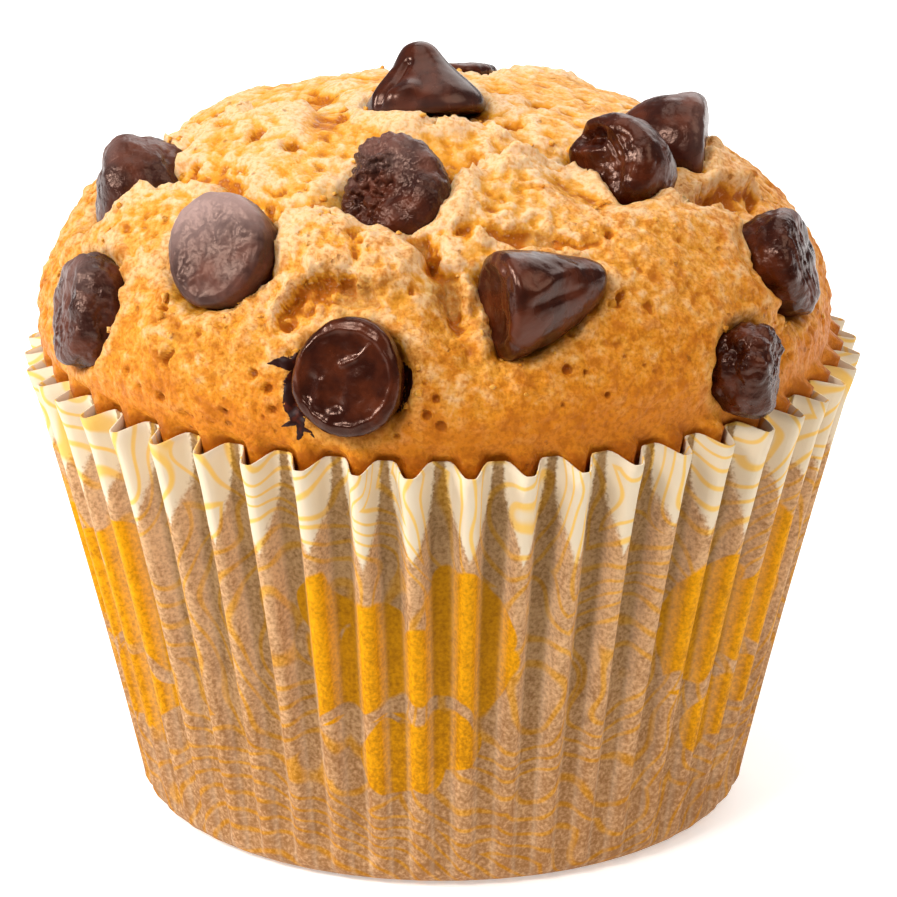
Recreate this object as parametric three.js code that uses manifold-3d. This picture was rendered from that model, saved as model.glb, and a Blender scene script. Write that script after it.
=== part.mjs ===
// A chocolate-chip muffin in its pleated paper baking case.
//
// Millimetres, +Z up. The origin is the middle of the case's flat underside.
// The pieces are one cake, one paper case and the chocolate chips that are baked into the crust.
// Places on the crust are given as [azimuth, fall] in degrees: azimuth is counted from +X round
// to +Y, and fall is the angle down from the crown, 0 at the top and 90 at the widest line.

import * as THREE from 'three';
import { mergeVertices } from 'three/addons/utils/BufferGeometryUtils.js';
import Module from 'manifold-3d';

const wasm = await Module();
wasm.setup();

// ---------------------------------------------------------------- driving dimensions

// Paper case: the common 50 x 38 mm muffin size, pressed from one round sheet.
const CASE_HEIGHT = 38;
const FLOOR_RADIUS = 22; // flat part of the underside
const FOOT_RADIUS = 24.97; // over the flutes, where the rounded foot ends
const FOOT_HEIGHT = 2.4;
const RIM_RADIUS = 33.84; // over the flutes, at the rim
const WALL_BOW = 0.1; // share of the wall's spread that comes in its upper half
const FLUTES = 48;
const FLUTE_DEPTH_FOOT = 0.4;
const FLUTE_DEPTH_RIM = 2.3;
const RIM_DIP = 0.65; // a flute's outer fold stands this much lower than its inner fold
const PAPER = 0.35; // wall of the solid, so that it stays printable and closed

// Cake: a domed top over a plug that stands inside the case.
const GAP = 0.3; // clearance between pieces that touch
const DOME_RADIUS = 31.9;
const DOME_RISE = 18.1; // from the widest line to the crown
const DOME_HEIGHT = 40.5; // of the widest line
const DOME_SHIFT = -0.6; // the dome sits slightly to the left in its case
const SKIRT_FALL = 94; // the crust turns under into the case at this fall
const CRUST_GRID = 40; // cells along one side of the crust's grid

// Chocolate chips.
const CHIP_SIDES = 12;
const CHIP_RINGS = 5;
const CHIP_EDGE = 0.6; // rounding of the base's edge where a chip doesn't give its own
const CHIP_SEAT = 1.1; // depth of the dimple that the crust forms round a chip
const CHIP_SEAT_REACH = 6.5;

// ---------------------------------------------------------------- relief of the crust

// A ledge is a line along which one side of the crust has lifted over the other. It is high on
// the left of its travel, seen from outside, and falls by rise + drop. A negative drop makes a
// ridge with both sides up.
const LEDGES = [
  // The long split behind the left shoulder.
  { line: [[-161, 16], [-170, 25], [-175, 31], [-171, 44], [-162, 58], [-170, 69]],
    rise: 1.6, riseReach: 5, drop: 1.7, dropReach: 5 },
  // The shelf that the flat chip on the left sits on.
  { line: [[-138, 40], [-146, 44], [-155, 48], [-163, 55]],
    rise: 0.9, riseReach: 4, drop: 0.9, dropReach: 3 },
  // The blocky lumps in the middle.
  { line: [[-95, 44], [-103, 44], [-107, 42], [-114, 39], [-119, 44], [-121, 55]],
    rise: 1.1, riseReach: 4, drop: 0.8, dropReach: 3 },
  // The big smooth lobe at the front right, proud of everything behind it.
  { line: [[-28, 78], [-31, 69], [-30, 54], [-35, 48], [-40, 42], [-46, 38], [-50, 31],
    [-67, 27], [-78, 29], [-87, 35], [-94, 42]],
    rise: 1.5, riseReach: 9, drop: 2.1, dropReach: 5 },
  // The lip that arches over the front chip.
  { line: [[-116, 68], [-113, 60], [-109, 57], [-104, 57], [-99, 59], [-96, 62]],
    rise: 1.0, riseReach: 3, drop: 1.1, dropReach: 3 },
  // The thin swirl of batter that runs into that lip.
  { line: [[-140, 73], [-135, 75], [-129, 74], [-124, 71], [-116, 68]],
    rise: 0.5, riseReach: 1.5, drop: -0.4, dropReach: 3 },
  // The back edge of the slab behind the crown's front.
  { line: [[-46, 19], [-62, 15], [-83, 15], [-93, 19]],
    rise: 0.8, riseReach: 4, drop: 0.8, dropReach: 3 },
  // The lip on the right shoulder.
  { line: [[-28, 47], [-22, 46], [-13, 49], [-5, 56]],
    rise: 0.8, riseReach: 4, drop: 0.9, dropReach: 3 },
  // Three splits over the back.
  { line: [[128, 52], [112, 58], [92, 57], [74, 62], [58, 66]],
    rise: 1.0, riseReach: 6, drop: 1.4, dropReach: 4 },
  { line: [[40, 34], [62, 32], [84, 28], [104, 24]],
    rise: 0.8, riseReach: 5, drop: 1.2, dropReach: 4 },
  { line: [[166, 48], [156, 56], [150, 66], [154, 76]],
    rise: 0.8, riseReach: 5, drop: 0.9, dropReach: 4 },
];

// A crack is a line along which the crust has sunk on both sides.
const CRACKS = [
  { line: [[-162, 48], [-153, 41], [-135, 41], [-121, 43]], depth: 1.2, width: 1.7 },
  { line: [[-105, 43], [-104, 48], [-102, 55]], depth: 0.9, width: 0.8 },
  { line: [[-94, 43], [-91, 49], [-89, 54], [-87, 60], [-85, 68]], depth: 1.7, width: 1.6 },
  { line: [[-84, 42], [-77, 46], [-71, 47], [-64, 50], [-58, 50]], depth: 0.6, width: 0.9 },
  { line: [[-90, 25], [-85, 28], [-78, 29], [-70, 28]], depth: 1.2, width: 1.2 },
  { line: [[70, 44], [88, 46], [104, 40]], depth: 1.1, width: 1.4 },
  { line: [[20, 58], [34, 52], [50, 50]], depth: 1.1, width: 1.4 },
];

// A lump is a round swelling of the crust.
const LUMPS = [
  { at: [-118, 13], radius: 5, height: 0.9 },
  { at: [-111, 50], radius: 4.5, height: 0.7 },
  { at: [-98, 51], radius: 3.8, height: 0.7 },
  { at: [-45, 62], radius: 10, height: 0.6 },
  { at: [-152, 33], radius: 7, height: 0.5 },
  { at: [95, 68], radius: 8, height: 0.7 },
  { at: [140, 44], radius: 6, height: 0.7 },
  { at: [52, 46], radius: 6, height: 0.6 },
  { at: [-5, 43], radius: 6, height: 1.8 },
  { at: [-97, 14], radius: 4.5, height: 0.9 },
  { at: [-31, 64], radius: 3.5, height: -1 },
  { at: [-115.5, 58], radius: 3, height: -0.4 },
];
const LINE_STEP = 0.7; // spacing of the samples along a ledge or crack
const LEDGE_FACE = 0.9; // half the width of the steep face between a ledge's two sides
const END_FADE = 2.5; // a line fades in and out over this length

// ---------------------------------------------------------------- the chips

// seat is where the base's middle stands and out is how far it stands off the smooth dome.
// tip is the direction in which the point looks, as heading and pitch. full goes from 0, a
// drawn-out drop, to 1, a stubby one. neck is how thick the drawn-out point is, and a slim above
// 1 hollows the flank below it. curl bends the point up, as a share of the height. edge is the
// rounding of a base that baking has softened.
const CHIPS = [
  { seat: [-106, 5.4], out: -1.5, tip: [105, 68], radius: 4.75, height: 6.2, full: 0.08, neck: 0.34,
    slim: 1.35 },
  { seat: [-169, 54.4], out: 1.7, tip: [2, -10], radius: 4.4, height: 8.6, full: 1, edge: 2 },
  { seat: [-153.2, 77.2], out: 1.4, tip: [14, -13], radius: 4.55, height: 7, full: 1, edge: 1.4 },
  { seat: [-128.3, 55.6], out: 1.7, tip: [50, -30], radius: 4.55, height: 6.4, full: 1 },
  { seat: [-101.2, 35.7], out: 1.1, tip: [53, -35], radius: 4.3, height: 6.6, full: 1, edge: 1.3 },
  { seat: [-101.8, 78], out: 1.5, tip: [73, -14], radius: 4.4, height: 6.3, full: 1 },
  { seat: [-80.6, 62.5], out: 1, tip: [22, 0], radius: 4.2, height: 8.9, full: 0.15, neck: 0.5,
    curl: 0.12 },
  { seat: [-45.7, 35], out: 1.1, tip: [42, -19], radius: 4.2, height: 6.6, full: 1, edge: 1.2 },
  { seat: [-5.6, 41.9], out: 0.9, tip: [174, 0], radius: 4.15, height: 7.6, full: 1, edge: 1.2 },
  { seat: [-22.2, 68.7], out: 2, tip: [167, -16], radius: 4.45, height: 6.8, full: 1, edge: 1.1 },
  { seat: [-39.6, 85.9], out: 2.2, tip: [168, -2], radius: 3.6, height: 6.3, full: 1, edge: 1.3 },
  { seat: [86, 25], out: 0.4, tip: [-94, -74], radius: 4.4, height: 5, full: 1 },
  { seat: [40, 80], out: 1, tip: [-150, -12], radius: 4.4, height: 6.3, full: 1, edge: 1.2 },
  { seat: [66, 67], out: 0.5, tip: [150, -18], radius: 4.2, height: 8, full: 0.15, neck: 0.45,
    curl: 0.1 },
  { seat: [92, 80], out: 1.3, tip: [-88, -14], radius: 4.5, height: 6.5, full: 1 },
  { seat: [112, 64], out: 0.6, tip: [-60, -30], radius: 4.6, height: 6.4, full: 1, edge: 1.2 },
  { seat: [138, 79], out: 0.9, tip: [-28, -20], radius: 4.4, height: 6.6, full: 1, edge: 1.1 },
];

// ---------------------------------------------------------------- materials

const crustFinish = { color: 0xd9923f, roughness: 0.8, metalness: 0 };
const paperFinish = { color: 0xc9a878, roughness: 0.9, metalness: 0 };
const chocolateFinish = { color: 0x4a2a20, roughness: 0.45, metalness: 0 };

function material(finish) {
  return new THREE.MeshStandardMaterial(finish);
}

// ---------------------------------------------------------------- small helpers

const { degToRad, smoothstep } = THREE.MathUtils;

function solid(geometry) {
  const vertProperties = new Float32Array(geometry.attributes.position.array);
  const triVerts = new Uint32Array(geometry.index.array);
  return new wasm.Manifold(new wasm.Mesh({ numProp: 3, vertProperties, triVerts }));
}

function geometryOf(manifold) {
  const { vertProperties, triVerts } = manifold.getMesh();
  return indexedGeometry(vertProperties, triVerts);
}

function indexedGeometry(positions, triangles) {
  const geometry = new THREE.BufferGeometry();
  geometry.setAttribute('position', new THREE.BufferAttribute(Float32Array.from(positions), 3));
  geometry.setIndex(Array.from(triangles));
  geometry.computeVertexNormals();
  return geometry;
}

function polar(radius, azimuth, height) {
  return new THREE.Vector3(radius * Math.cos(azimuth), radius * Math.sin(azimuth), height);
}

// Joins two rings of equal count by a band of triangles that face away from the axis when the
// first ring is the upper one.
function band(triangles, upper, lower, count) {
  for (let i = 0; i < count; i += 1) {
    const next = (i + 1) % count;
    triangles.push(upper[i], lower[i], lower[next]);
    triangles.push(upper[i], lower[next], upper[next]);
  }
}

// ---------------------------------------------------------------- paper case

// Radius over the flutes' outer folds: a quarter ellipse for the foot, then the bowed wall.
function caseRadius(height) {
  if (height < FOOT_HEIGHT) {
    const drop = 1 - height / FOOT_HEIGHT;
    return FLOOR_RADIUS + (FOOT_RADIUS - FLOOR_RADIUS) * Math.sqrt(1 - drop * drop);
  }
  const up = (height - FOOT_HEIGHT) / (CASE_HEIGHT - FOOT_HEIGHT);
  return FOOT_RADIUS + (RIM_RADIUS - FOOT_RADIUS) * ((1 - WALL_BOW) * up + WALL_BOW * up * up);
}

// Flutes start at nothing on the foot and deepen steadily to the rim.
function fluteDepth(height) {
  const up = height / CASE_HEIGHT;
  return (FLUTE_DEPTH_FOOT + (FLUTE_DEPTH_RIM - FLUTE_DEPTH_FOOT) * up) * smoothstep(height, 0, FOOT_HEIGHT);
}

// One flute's outline: [share of the pitch from the inner fold's middle, share of the depth].
const FLUTE_OUTLINE = [[0.15, 0], [0.27, 0.95], [0.73, 0.95], [0.85, 0]];
const FIRST_FOLD = degToRad(-90); // the middle of an inner fold faces -Y

// The plan outline of the sheet's outer face at one height, anticlockwise.
function caseOutline(height) {
  const points = [];
  for (let flute = 0; flute < FLUTES; flute += 1) {
    for (const [share, reach] of FLUTE_OUTLINE) {
      const azimuth = FIRST_FOLD + ((flute + share) / FLUTES) * 2 * Math.PI;
      const radius = caseRadius(height) - fluteDepth(height) * (1 - reach);
      const dip = height === CASE_HEIGHT ? RIM_DIP * reach : 0;
      points.push(polar(radius, azimuth, height - dip));
    }
  }
  return points;
}

// The same outline moved in by the paper's thickness, with mitred corners.
function innerOutline(outline, lift) {
  return outline.map((point, i) => {
    const before = outline[(i + outline.length - 1) % outline.length];
    const after = outline[(i + 1) % outline.length];
    const first = new THREE.Vector2(point.y - before.y, before.x - point.x).normalize();
    const second = new THREE.Vector2(after.y - point.y, point.x - after.x).normalize();
    const mitre = first.clone().add(second).multiplyScalar(PAPER / (1 + first.dot(second)));
    return new THREE.Vector3(point.x - mitre.x, point.y - mitre.y, point.z + lift);
  });
}

function paperCase() {
  const heights = [0, 0.5, FOOT_HEIGHT, 15, CASE_HEIGHT];
  const lifts = [PAPER, 0.25, 0.1, 0, 0]; // the inner face's foot turns in above the floor
  const outer = heights.map(caseOutline);
  const inner = outer.map((outline, i) => innerOutline(outline, lifts[i]));
  const rings = [...outer, ...inner.reverse()];
  const count = outer[0].length;
  const positions = rings.flat().flatMap((point) => point.toArray());
  const ringIndex = rings.map((_, k) => Array.from({ length: count }, (__, i) => k * count + i));
  const triangles = [];
  for (let k = 0; k + 1 < rings.length; k += 1) {
    band(triangles, ringIndex[k + 1], ringIndex[k], count);
  }
  const underside = positions.length / 3;
  positions.push(0, 0, 0, 0, 0, PAPER);
  const inside = underside + 1;
  const floorRing = ringIndex[rings.length - 1];
  for (let i = 0; i < count; i += 1) {
    const next = (i + 1) % count;
    triangles.push(underside, ringIndex[0][next], ringIndex[0][i]);
    triangles.push(inside, floorRing[i], floorRing[next]);
  }
  return indexedGeometry(positions, triangles);
}

// ---------------------------------------------------------------- crust

const domeCentre = new THREE.Vector3(DOME_SHIFT, 0, DOME_HEIGHT);

// Point on the smooth dome.
function domePoint([azimuth, fall]) {
  const across = DOME_RADIUS * Math.sin(degToRad(fall));
  const point = polar(across, degToRad(azimuth), DOME_RISE * Math.cos(degToRad(fall)));
  return point.add(domeCentre);
}

function domeNormal(point) {
  const from = point.clone().sub(domeCentre);
  const wide = DOME_RADIUS * DOME_RADIUS;
  return new THREE.Vector3(from.x / wide, from.y / wide, from.z / (DOME_RISE * DOME_RISE)).normalize();
}

// Samples a line on the dome: place, direction of travel, the side that is high, and the
// distance along the line.
function traced(line) {
  const curve = new THREE.CatmullRomCurve3(line.map(domePoint));
  const length = curve.getLength();
  const steps = Math.ceil(length / LINE_STEP);
  const samples = [];
  for (let i = 0; i <= steps; i += 1) {
    const place = curve.getPointAt(i / steps);
    const travel = curve.getTangentAt(i / steps);
    const left = domeNormal(place).cross(travel).normalize();
    samples.push({ place, travel, left, along: (i / steps) * length });
  }
  return { samples, length };
}

// Signed distance to the left of a traced line, and a weight that fades out at its ends.
function beside(trace, point) {
  let nearest = trace.samples[0];
  for (const sample of trace.samples) {
    if (sample.place.distanceToSquared(point) < nearest.place.distanceToSquared(point)) {
      nearest = sample;
    }
  }
  const offset = point.clone().sub(nearest.place);
  const along = nearest.along + offset.dot(nearest.travel);
  const weight = smoothstep(along, 0, END_FADE) * smoothstep(trace.length - along, 0, END_FADE);
  return { side: offset.dot(nearest.left), weight };
}

const ledges = LEDGES.map((ledge) => ({ ...ledge, trace: traced(ledge.line) }));
const cracks = CRACKS.map((crack) => ({ ...crack, trace: traced(crack.line) }));
const lumps = LUMPS.map((lump) => ({ ...lump, place: domePoint(lump.at) }));
const seats = CHIPS.map((chip) => domePoint(chip.seat));

function ledgeHeight(ledge, point) {
  const { side, weight } = beside(ledge.trace, point);
  const high = ledge.rise * Math.exp(-Math.max(side, 0) / ledge.riseReach);
  const low = -ledge.drop * Math.exp(Math.min(side, 0) / ledge.dropReach);
  const share = smoothstep(side, -LEDGE_FACE, LEDGE_FACE);
  return weight * (high * share + low * (1 - share));
}

function crackHeight(crack, point) {
  const { side, weight } = beside(crack.trace, point);
  return -weight * crack.depth * Math.exp(-((side / crack.width) ** 2));
}

function lumpHeight(lump, point) {
  const distance = lump.place.distanceTo(point);
  return lump.height * (1 - smoothstep(distance, 0.4 * lump.radius, lump.radius));
}

function seatHeight(seat, point) {
  return -CHIP_SEAT * (1 - smoothstep(seat.distanceTo(point), 0.5 * CHIP_SEAT_REACH, CHIP_SEAT_REACH));
}

// How far the crust stands off the smooth dome. The relief dies out above the case's rim.
function crustHeight(point, fall) {
  const total = (list, height) => list.reduce((sum, item) => sum + height(item, point), 0);
  const relief = total(ledges, ledgeHeight) + total(cracks, crackHeight)
    + total(lumps, lumpHeight) + total(seats, seatHeight);
  return relief * smoothstep(SKIRT_FALL - fall, 0, 10);
}

function crustPoint(azimuth, fall) {
  const point = domePoint([azimuth, fall]);
  return point.addScaledVector(domeNormal(point), crustHeight(point, fall));
}

// ---------------------------------------------------------------- cake

// Radius of the plug inside the case: clear of the inner folds by the gap.
function plugRadius(height) {
  return caseRadius(height) - fluteDepth(height) - PAPER - GAP;
}

// The crust is a square grid folded into a disc, so its cells are alike all over: each square
// ring becomes a circle. The plug's rings hang from the disc's edge.
function cakeGeometry() {
  const n = CRUST_GRID;
  const positions = [];
  const index = (i, j) => i * (n + 1) + j;
  for (let i = 0; i <= n; i += 1) {
    for (let j = 0; j <= n; j += 1) {
      const u = (2 * i) / n - 1;
      const v = (2 * j) / n - 1;
      const wide = Math.abs(u) >= Math.abs(v);
      const reach = wide ? u : v;
      const lean = reach === 0 ? 0 : (Math.PI / 4) * (wide ? v / u : u / v);
      const turn = wide ? lean : Math.PI / 2 - lean;
      const azimuth = reach < 0 ? turn + Math.PI : turn;
      const degrees = THREE.MathUtils.radToDeg(azimuth);
      positions.push(...crustPoint(degrees, Math.abs(reach) * SKIRT_FALL).toArray());
    }
  }
  const triangles = [];
  for (let i = 0; i < n; i += 1) {
    for (let j = 0; j < n; j += 1) {
      const [a, b, c, d] = [index(i, j), index(i + 1, j), index(i + 1, j + 1), index(i, j + 1)];
      triangles.push(...((i < n / 2) === (j < n / 2) ? [a, b, c, a, c, d] : [a, b, d, b, c, d]));
    }
  }
  const edge = [];
  for (let k = 0; k < n; k += 1) edge.push(index(k, 0));
  for (let k = 0; k < n; k += 1) edge.push(index(n, k));
  for (let k = n; k > 0; k -= 1) edge.push(index(k, n));
  for (let k = n; k > 0; k -= 1) edge.push(index(0, k));

  const floor = PAPER + GAP;
  const tuck = [CASE_HEIGHT + 0.4, CASE_HEIGHT - 0.5]; // where the crust turns in at the rim
  const plug = [
    ...tuck.map((height) => [Math.min(plugRadius(CASE_HEIGHT), plugRadius(height)), height]),
    [plugRadius(FOOT_HEIGHT + GAP), FOOT_HEIGHT + GAP],
    [FLOOR_RADIUS - PAPER, floor],
  ];
  let upper = edge;
  for (const [radius, height] of plug) {
    const first = positions.length / 3;
    for (const vertex of edge) {
      const x = positions[3 * vertex] - DOME_SHIFT;
      const azimuth = Math.atan2(positions[3 * vertex + 1], x);
      positions.push(...polar(radius, azimuth, height).toArray());
    }
    const lower = edge.map((_, i) => first + i);
    band(triangles, upper, lower, edge.length);
    upper = lower;
  }
  const middle = positions.length / 3;
  positions.push(0, 0, floor);
  for (let i = 0; i < upper.length; i += 1) {
    triangles.push(middle, upper[(i + 1) % upper.length], upper[i]);
  }
  return indexedGeometry(positions, triangles);
}

// ---------------------------------------------------------------- chocolate chips

// Radius of a chip at a share of its height: a blend of a drawn-out drop, whose flanks are
// hollow below its thick point, and a stubby one with full flanks.
function chipRadius(chip, share) {
  const neck = chip.neck ?? 0.3;
  const flare = ((1 + Math.cos(Math.PI * share)) / 2) ** (chip.slim ?? 1);
  const drawn = neck * Math.sqrt(1 - share ** 8) + (1 - neck) * flare;
  const stubby = Math.sqrt(1 - share * share);
  return chip.radius * (drawn * (1 - chip.full) + stubby * chip.full);
}

// A chip along +Y with its base at the origin. grow makes the pocket that the chip sits in.
function chipGeometry(chip, index, grow = 0) {
  const edge = chip.edge ?? CHIP_EDGE;
  const profile = [
    new THREE.Vector2(0, -grow),
    new THREE.Vector2(chip.radius - edge + grow, -grow),
  ];
  for (let ring = 0; ring <= CHIP_RINGS; ring += 1) {
    const even = ring / CHIP_RINGS;
    const share = chip.full < 0.5 ? even : Math.sin((even * Math.PI) / 2);
    const height = edge + (chip.height - edge) * share;
    const radius = chipRadius(chip, share) + grow;
    profile.push(new THREE.Vector2(ring === CHIP_RINGS ? 0 : radius, height + grow * share));
  }
  const lathe = new THREE.LatheGeometry(profile, CHIP_SIDES);
  lathe.deleteAttribute('normal');
  lathe.deleteAttribute('uv');
  const geometry = mergeVertices(lathe);
  const place = geometry.attributes.position;
  const curl = (chip.curl ?? 0) * chip.height;
  for (let i = 0; i < place.count; i += 1) {
    const turn = Math.atan2(place.getZ(i), place.getX(i));
    const uneven = 1 + 0.04 * Math.sin(2 * turn + index) + 0.03 * Math.sin(3 * turn + 2 * index);
    const share = place.getY(i) / chip.height;
    place.setX(i, place.getX(i) * uneven);
    place.setZ(i, place.getZ(i) * uneven + curl * share * share);
  }
  geometry.computeVertexNormals();
  return geometry;
}

// Stands a mesh on its seat with its point along the chip's tip direction.
function seatChip(mesh, chip) {
  const seat = domePoint(chip.seat);
  const normal = domeNormal(seat);
  const [heading, pitch] = chip.tip.map(degToRad);
  const point = polar(Math.cos(pitch), heading, Math.sin(pitch));
  const side = point.clone().cross(new THREE.Vector3(0, 0, 1)).normalize();
  const basis = new THREE.Matrix4().makeBasis(side, point, side.clone().cross(point));
  mesh.position.copy(seat.addScaledVector(normal, chip.out));
  mesh.quaternion.setFromRotationMatrix(basis);
  mesh.updateMatrix();
}

function chipMesh(chip, index) {
  const mesh = new THREE.Mesh(chipGeometry(chip, index), material(chocolateFinish));
  mesh.name = `chip_${String(index + 1).padStart(2, '0')}`;
  seatChip(mesh, chip);
  return mesh;
}

function pocket(chip, index) {
  const mesh = new THREE.Mesh(chipGeometry(chip, index, GAP + 0.05));
  seatChip(mesh, chip);
  return solid(mesh.geometry.applyMatrix4(mesh.matrix));
}

// ---------------------------------------------------------------- assembly

const chips = CHIPS.map(chipMesh);

const pocketed = CHIPS.reduce(
  (cake, chip, index) => cake.subtract(pocket(chip, index)),
  solid(cakeGeometry()),
);
const cake = new THREE.Mesh(geometryOf(pocketed), material(crustFinish));
cake.name = 'cake';

const holder = new THREE.Mesh(paperCase(), material(paperFinish));
holder.name = 'paper_case';

const muffin = new THREE.Group();
muffin.add(holder, cake, ...chips);

export default muffin;
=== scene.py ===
"""A chocolate chip muffin in its pleated paper case, dressed for a studio picture.

Shapes are worked out in millimetres on grids of points and put into meshes in metres. Places on the
dome are [azimuth, fall] in degrees: azimuth from +X round to +Y, fall down from the crown.
"""
import itertools

import bpy
import numpy as np
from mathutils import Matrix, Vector


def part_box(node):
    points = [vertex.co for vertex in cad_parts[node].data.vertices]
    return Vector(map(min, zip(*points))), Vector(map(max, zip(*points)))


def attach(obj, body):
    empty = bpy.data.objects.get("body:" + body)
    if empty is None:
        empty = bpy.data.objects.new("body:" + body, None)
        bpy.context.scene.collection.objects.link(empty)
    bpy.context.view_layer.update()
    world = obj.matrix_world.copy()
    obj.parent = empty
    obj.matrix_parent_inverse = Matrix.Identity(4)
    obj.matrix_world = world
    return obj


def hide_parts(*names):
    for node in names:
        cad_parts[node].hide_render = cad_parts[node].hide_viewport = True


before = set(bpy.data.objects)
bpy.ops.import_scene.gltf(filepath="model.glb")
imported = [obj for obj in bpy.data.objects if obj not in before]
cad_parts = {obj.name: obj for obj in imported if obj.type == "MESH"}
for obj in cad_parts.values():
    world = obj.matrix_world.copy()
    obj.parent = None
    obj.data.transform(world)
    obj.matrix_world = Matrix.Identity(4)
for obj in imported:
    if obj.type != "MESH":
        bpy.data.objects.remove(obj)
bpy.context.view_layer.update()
MM = 0.001


# ---------------------------------------------------------------- camera
# A long lens looks down a little at the front of the muffin, level and square to the frame.
LOOK_AT = Vector((0.51, 0.0, 28.5)) * MM
CAMERA_DISTANCE = 440 * MM
CAMERA_ELEVATION = 0.3243  # in radians
LENS = 216.6


def add_object(name, data):
    """Puts a new object into the scene."""
    made = bpy.data.objects.new(name, data)
    bpy.context.scene.collection.objects.link(made)
    return made


def add_aimed(name, data, place):
    """Puts in a camera or a lamp that stands at a place and looks at the muffin."""
    made = add_object(name, data)
    made.location = place
    made.rotation_euler = (LOOK_AT - place).to_track_quat("-Z", "Y").to_euler()
    return made


view = Vector((0, -np.cos(CAMERA_ELEVATION), np.sin(CAMERA_ELEVATION)))
camera = add_aimed("camera", bpy.data.cameras.new("camera"), LOOK_AT + CAMERA_DISTANCE * view)
camera.data.lens = LENS
bpy.context.scene.camera = camera


# ---------------------------------------------------------------- paper case
# A case pressed from one round sheet of greaseproof paper, with 48 flutes that run out in the foot.
# The outer folds near the rim are still dry and cream; the rest is soaked by the cake's fat and
# has gone mottled and translucent. It is printed with thin rings and six lobed amber fields.
CASE_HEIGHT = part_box("paper_case")[1].z / MM
FLOOR_RADIUS = 22.0
FOOT_RADIUS = 24.97
FOOT_HEIGHT = 2.4
RIM_ROOM = 0.1  # past the solid's own rim, before the lean and the wander
RIM_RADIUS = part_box("paper_case")[1].x / MM + RIM_ROOM
WALL_BOW = 0.1
RIM_DIP = 0.65
SHEET_THICKNESS = 0.13
FOOT_ROWS = 7
WALL_ROWS = 40

FLUTES = 48
FLUTE_COLUMNS = 18
FLUTE_DEPTH_FOOT = 0.4
FLUTE_DEPTH_RIM = 2.3
CROWN_DROP = 0.20  # how far an outer fold's crown drops, a quarter of the pitch from its middle
FOLD_SIDE = (0.08, 0.38)  # where its side starts and ends, in shares of the pitch from its middle

# How the flutes differ from one to the next, mostly towards the rim: the grain of the wander, and
# how it is drawn out up the wall, then how far it moves the pitch, depth, lean, turn and rim.
WANDER_GRAIN = 3.0
WANDER_STRETCH = (0.5, 0.5, 0.12)
PITCH_WANDER = 0.035
DEPTH_WANDER = 0.16
LEAN_WANDER = 0.12
TWIST_WANDER = 0.012
RIM_WANDER = 0.3
RIM_LEAN = 0.05  # in towards the cake, on all of them

# The dry tongues down the outer folds: their length, their half width at the rim as a share of the
# pitch, and their soft edge.
DRY_LENGTH = 8.8
DRY_HALF_SHARE = 0.41
DRY_WANDER = 0.22
DRY_CIRCLE = 40  # the radius of the ring of places where their wander is read
DRY_GRAIN = 4.0
DRY_EDGE = 0.09
CREST = 0.26  # share of the pitch from an outer fold's middle to its bright crest
CREST_WIDTH = 0.05

PAPER_DRY = (0.77, 0.66, 0.49)
PAPER_SOAKED_PALE = (0.67, 0.40, 0.205)
PAPER_SOAKED_DARK = (0.29, 0.133, 0.048)
# This colour darkens the soaked inner folds as painted shade.
PAPER_FOLD_SHADE = (0.50, 0.52, 0.46)  # share of the light that a soaked inner fold keeps
FIBRE = 0.3  # the size of the paper's fibres
FIBRE_RELIEF = 0.04
CLOUD = 2.2  # and of its cloudy patches

INK_DRY = (0.86, 0.52, 0.10)
INK_LINE_SOAKED = (0.75, 0.37, 0.05)
INK_SOAKED_PALE = (0.80, 0.345, 0.002)
INK_SOAKED_DARK = (0.40, 0.15, 0.001)
RING_CELL = 22.0  # the printed rings' middles are about this far apart
RING_SPACING = 1.45
RING_HALF = 0.19
RING_BEND = 11.0
RING_BEND_SCALE = 0.09
FIELDS = 6
FIELD_MIDDLE = 43.0  # of a field, from the sheet's centre
FIELD_PITCH = 2 * np.pi * FIELD_MIDDLE / FIELDS
FIELD_TURN = 0.0145  # of the first field from -Y, in turns
FIELD_LOBES = [
    (-9.8, 5.3, 2.9), (-9.9, 0.8, 2.9), (-9.6, -1.2, 2.5), (-4.4, 4.2, 3.4), (6.4, 5.0, 4.9),
    (7.3, 1.6, 4.6), (-4.5, 0.4, 4.3), (1.2, 0.6, 4.3), (-2.4, -7.3, 3.7), (1.9, -6.6, 3.4),
    (5.9, -4.9, 3.1),
]  # [x, y, radius]
FIELD_BEND = 6.0
FIELD_BEND_SCALE = 0.16
INK_EDGE = 0.15
STRIPE_DROP = 2.9
STRIPE_HALF = 0.55
STRIPE_EDGE = 0.12
STRIPE_SWING = 0.55
STRIPE_RIPPLE = 0.9  # radians of its wave along each millimetre


def ease(value, low, high):
    """Runs from 0 at low to 1 at high along a cubic with level ends."""
    t = np.clip((value - low) / (high - low), 0, 1)
    return t * t * (3 - 2 * t)


def shuffled(table, cubes):
    """A number from 0 to 255 for each cube of space, by a seeded table that is read three times."""
    x, y, z = cubes.T & 255
    return table[(table[(table[x] + y) & 255] + z) & 255]


def noise(points, grain, seed):
    """Gradient noise from about -1 to 1: seeded slopes at the corners of cubes as wide as the grain,
    blended across each cube by a fifth-degree curve."""
    rng = np.random.default_rng(seed)
    table = rng.permutation(256)
    slopes = rng.normal(size=(256, 3))
    slopes /= np.linalg.norm(slopes, axis=1, keepdims=True)
    cube = np.floor(points / grain).astype(int)
    inside = points / grain - cube
    curve = inside ** 3 * (inside * (inside * 6 - 15) + 10)
    total = np.zeros(len(points))
    for corner in itertools.product((0, 1), repeat=3):
        slope = slopes[shuffled(table, cube + corner)]
        weight = np.prod(np.where(corner, curve, 1 - curve), axis=1)
        total += weight * ((inside - corner) * slope).sum(axis=1)
    return 1.7 * total  # the blend alone would reach about 0.6


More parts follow.
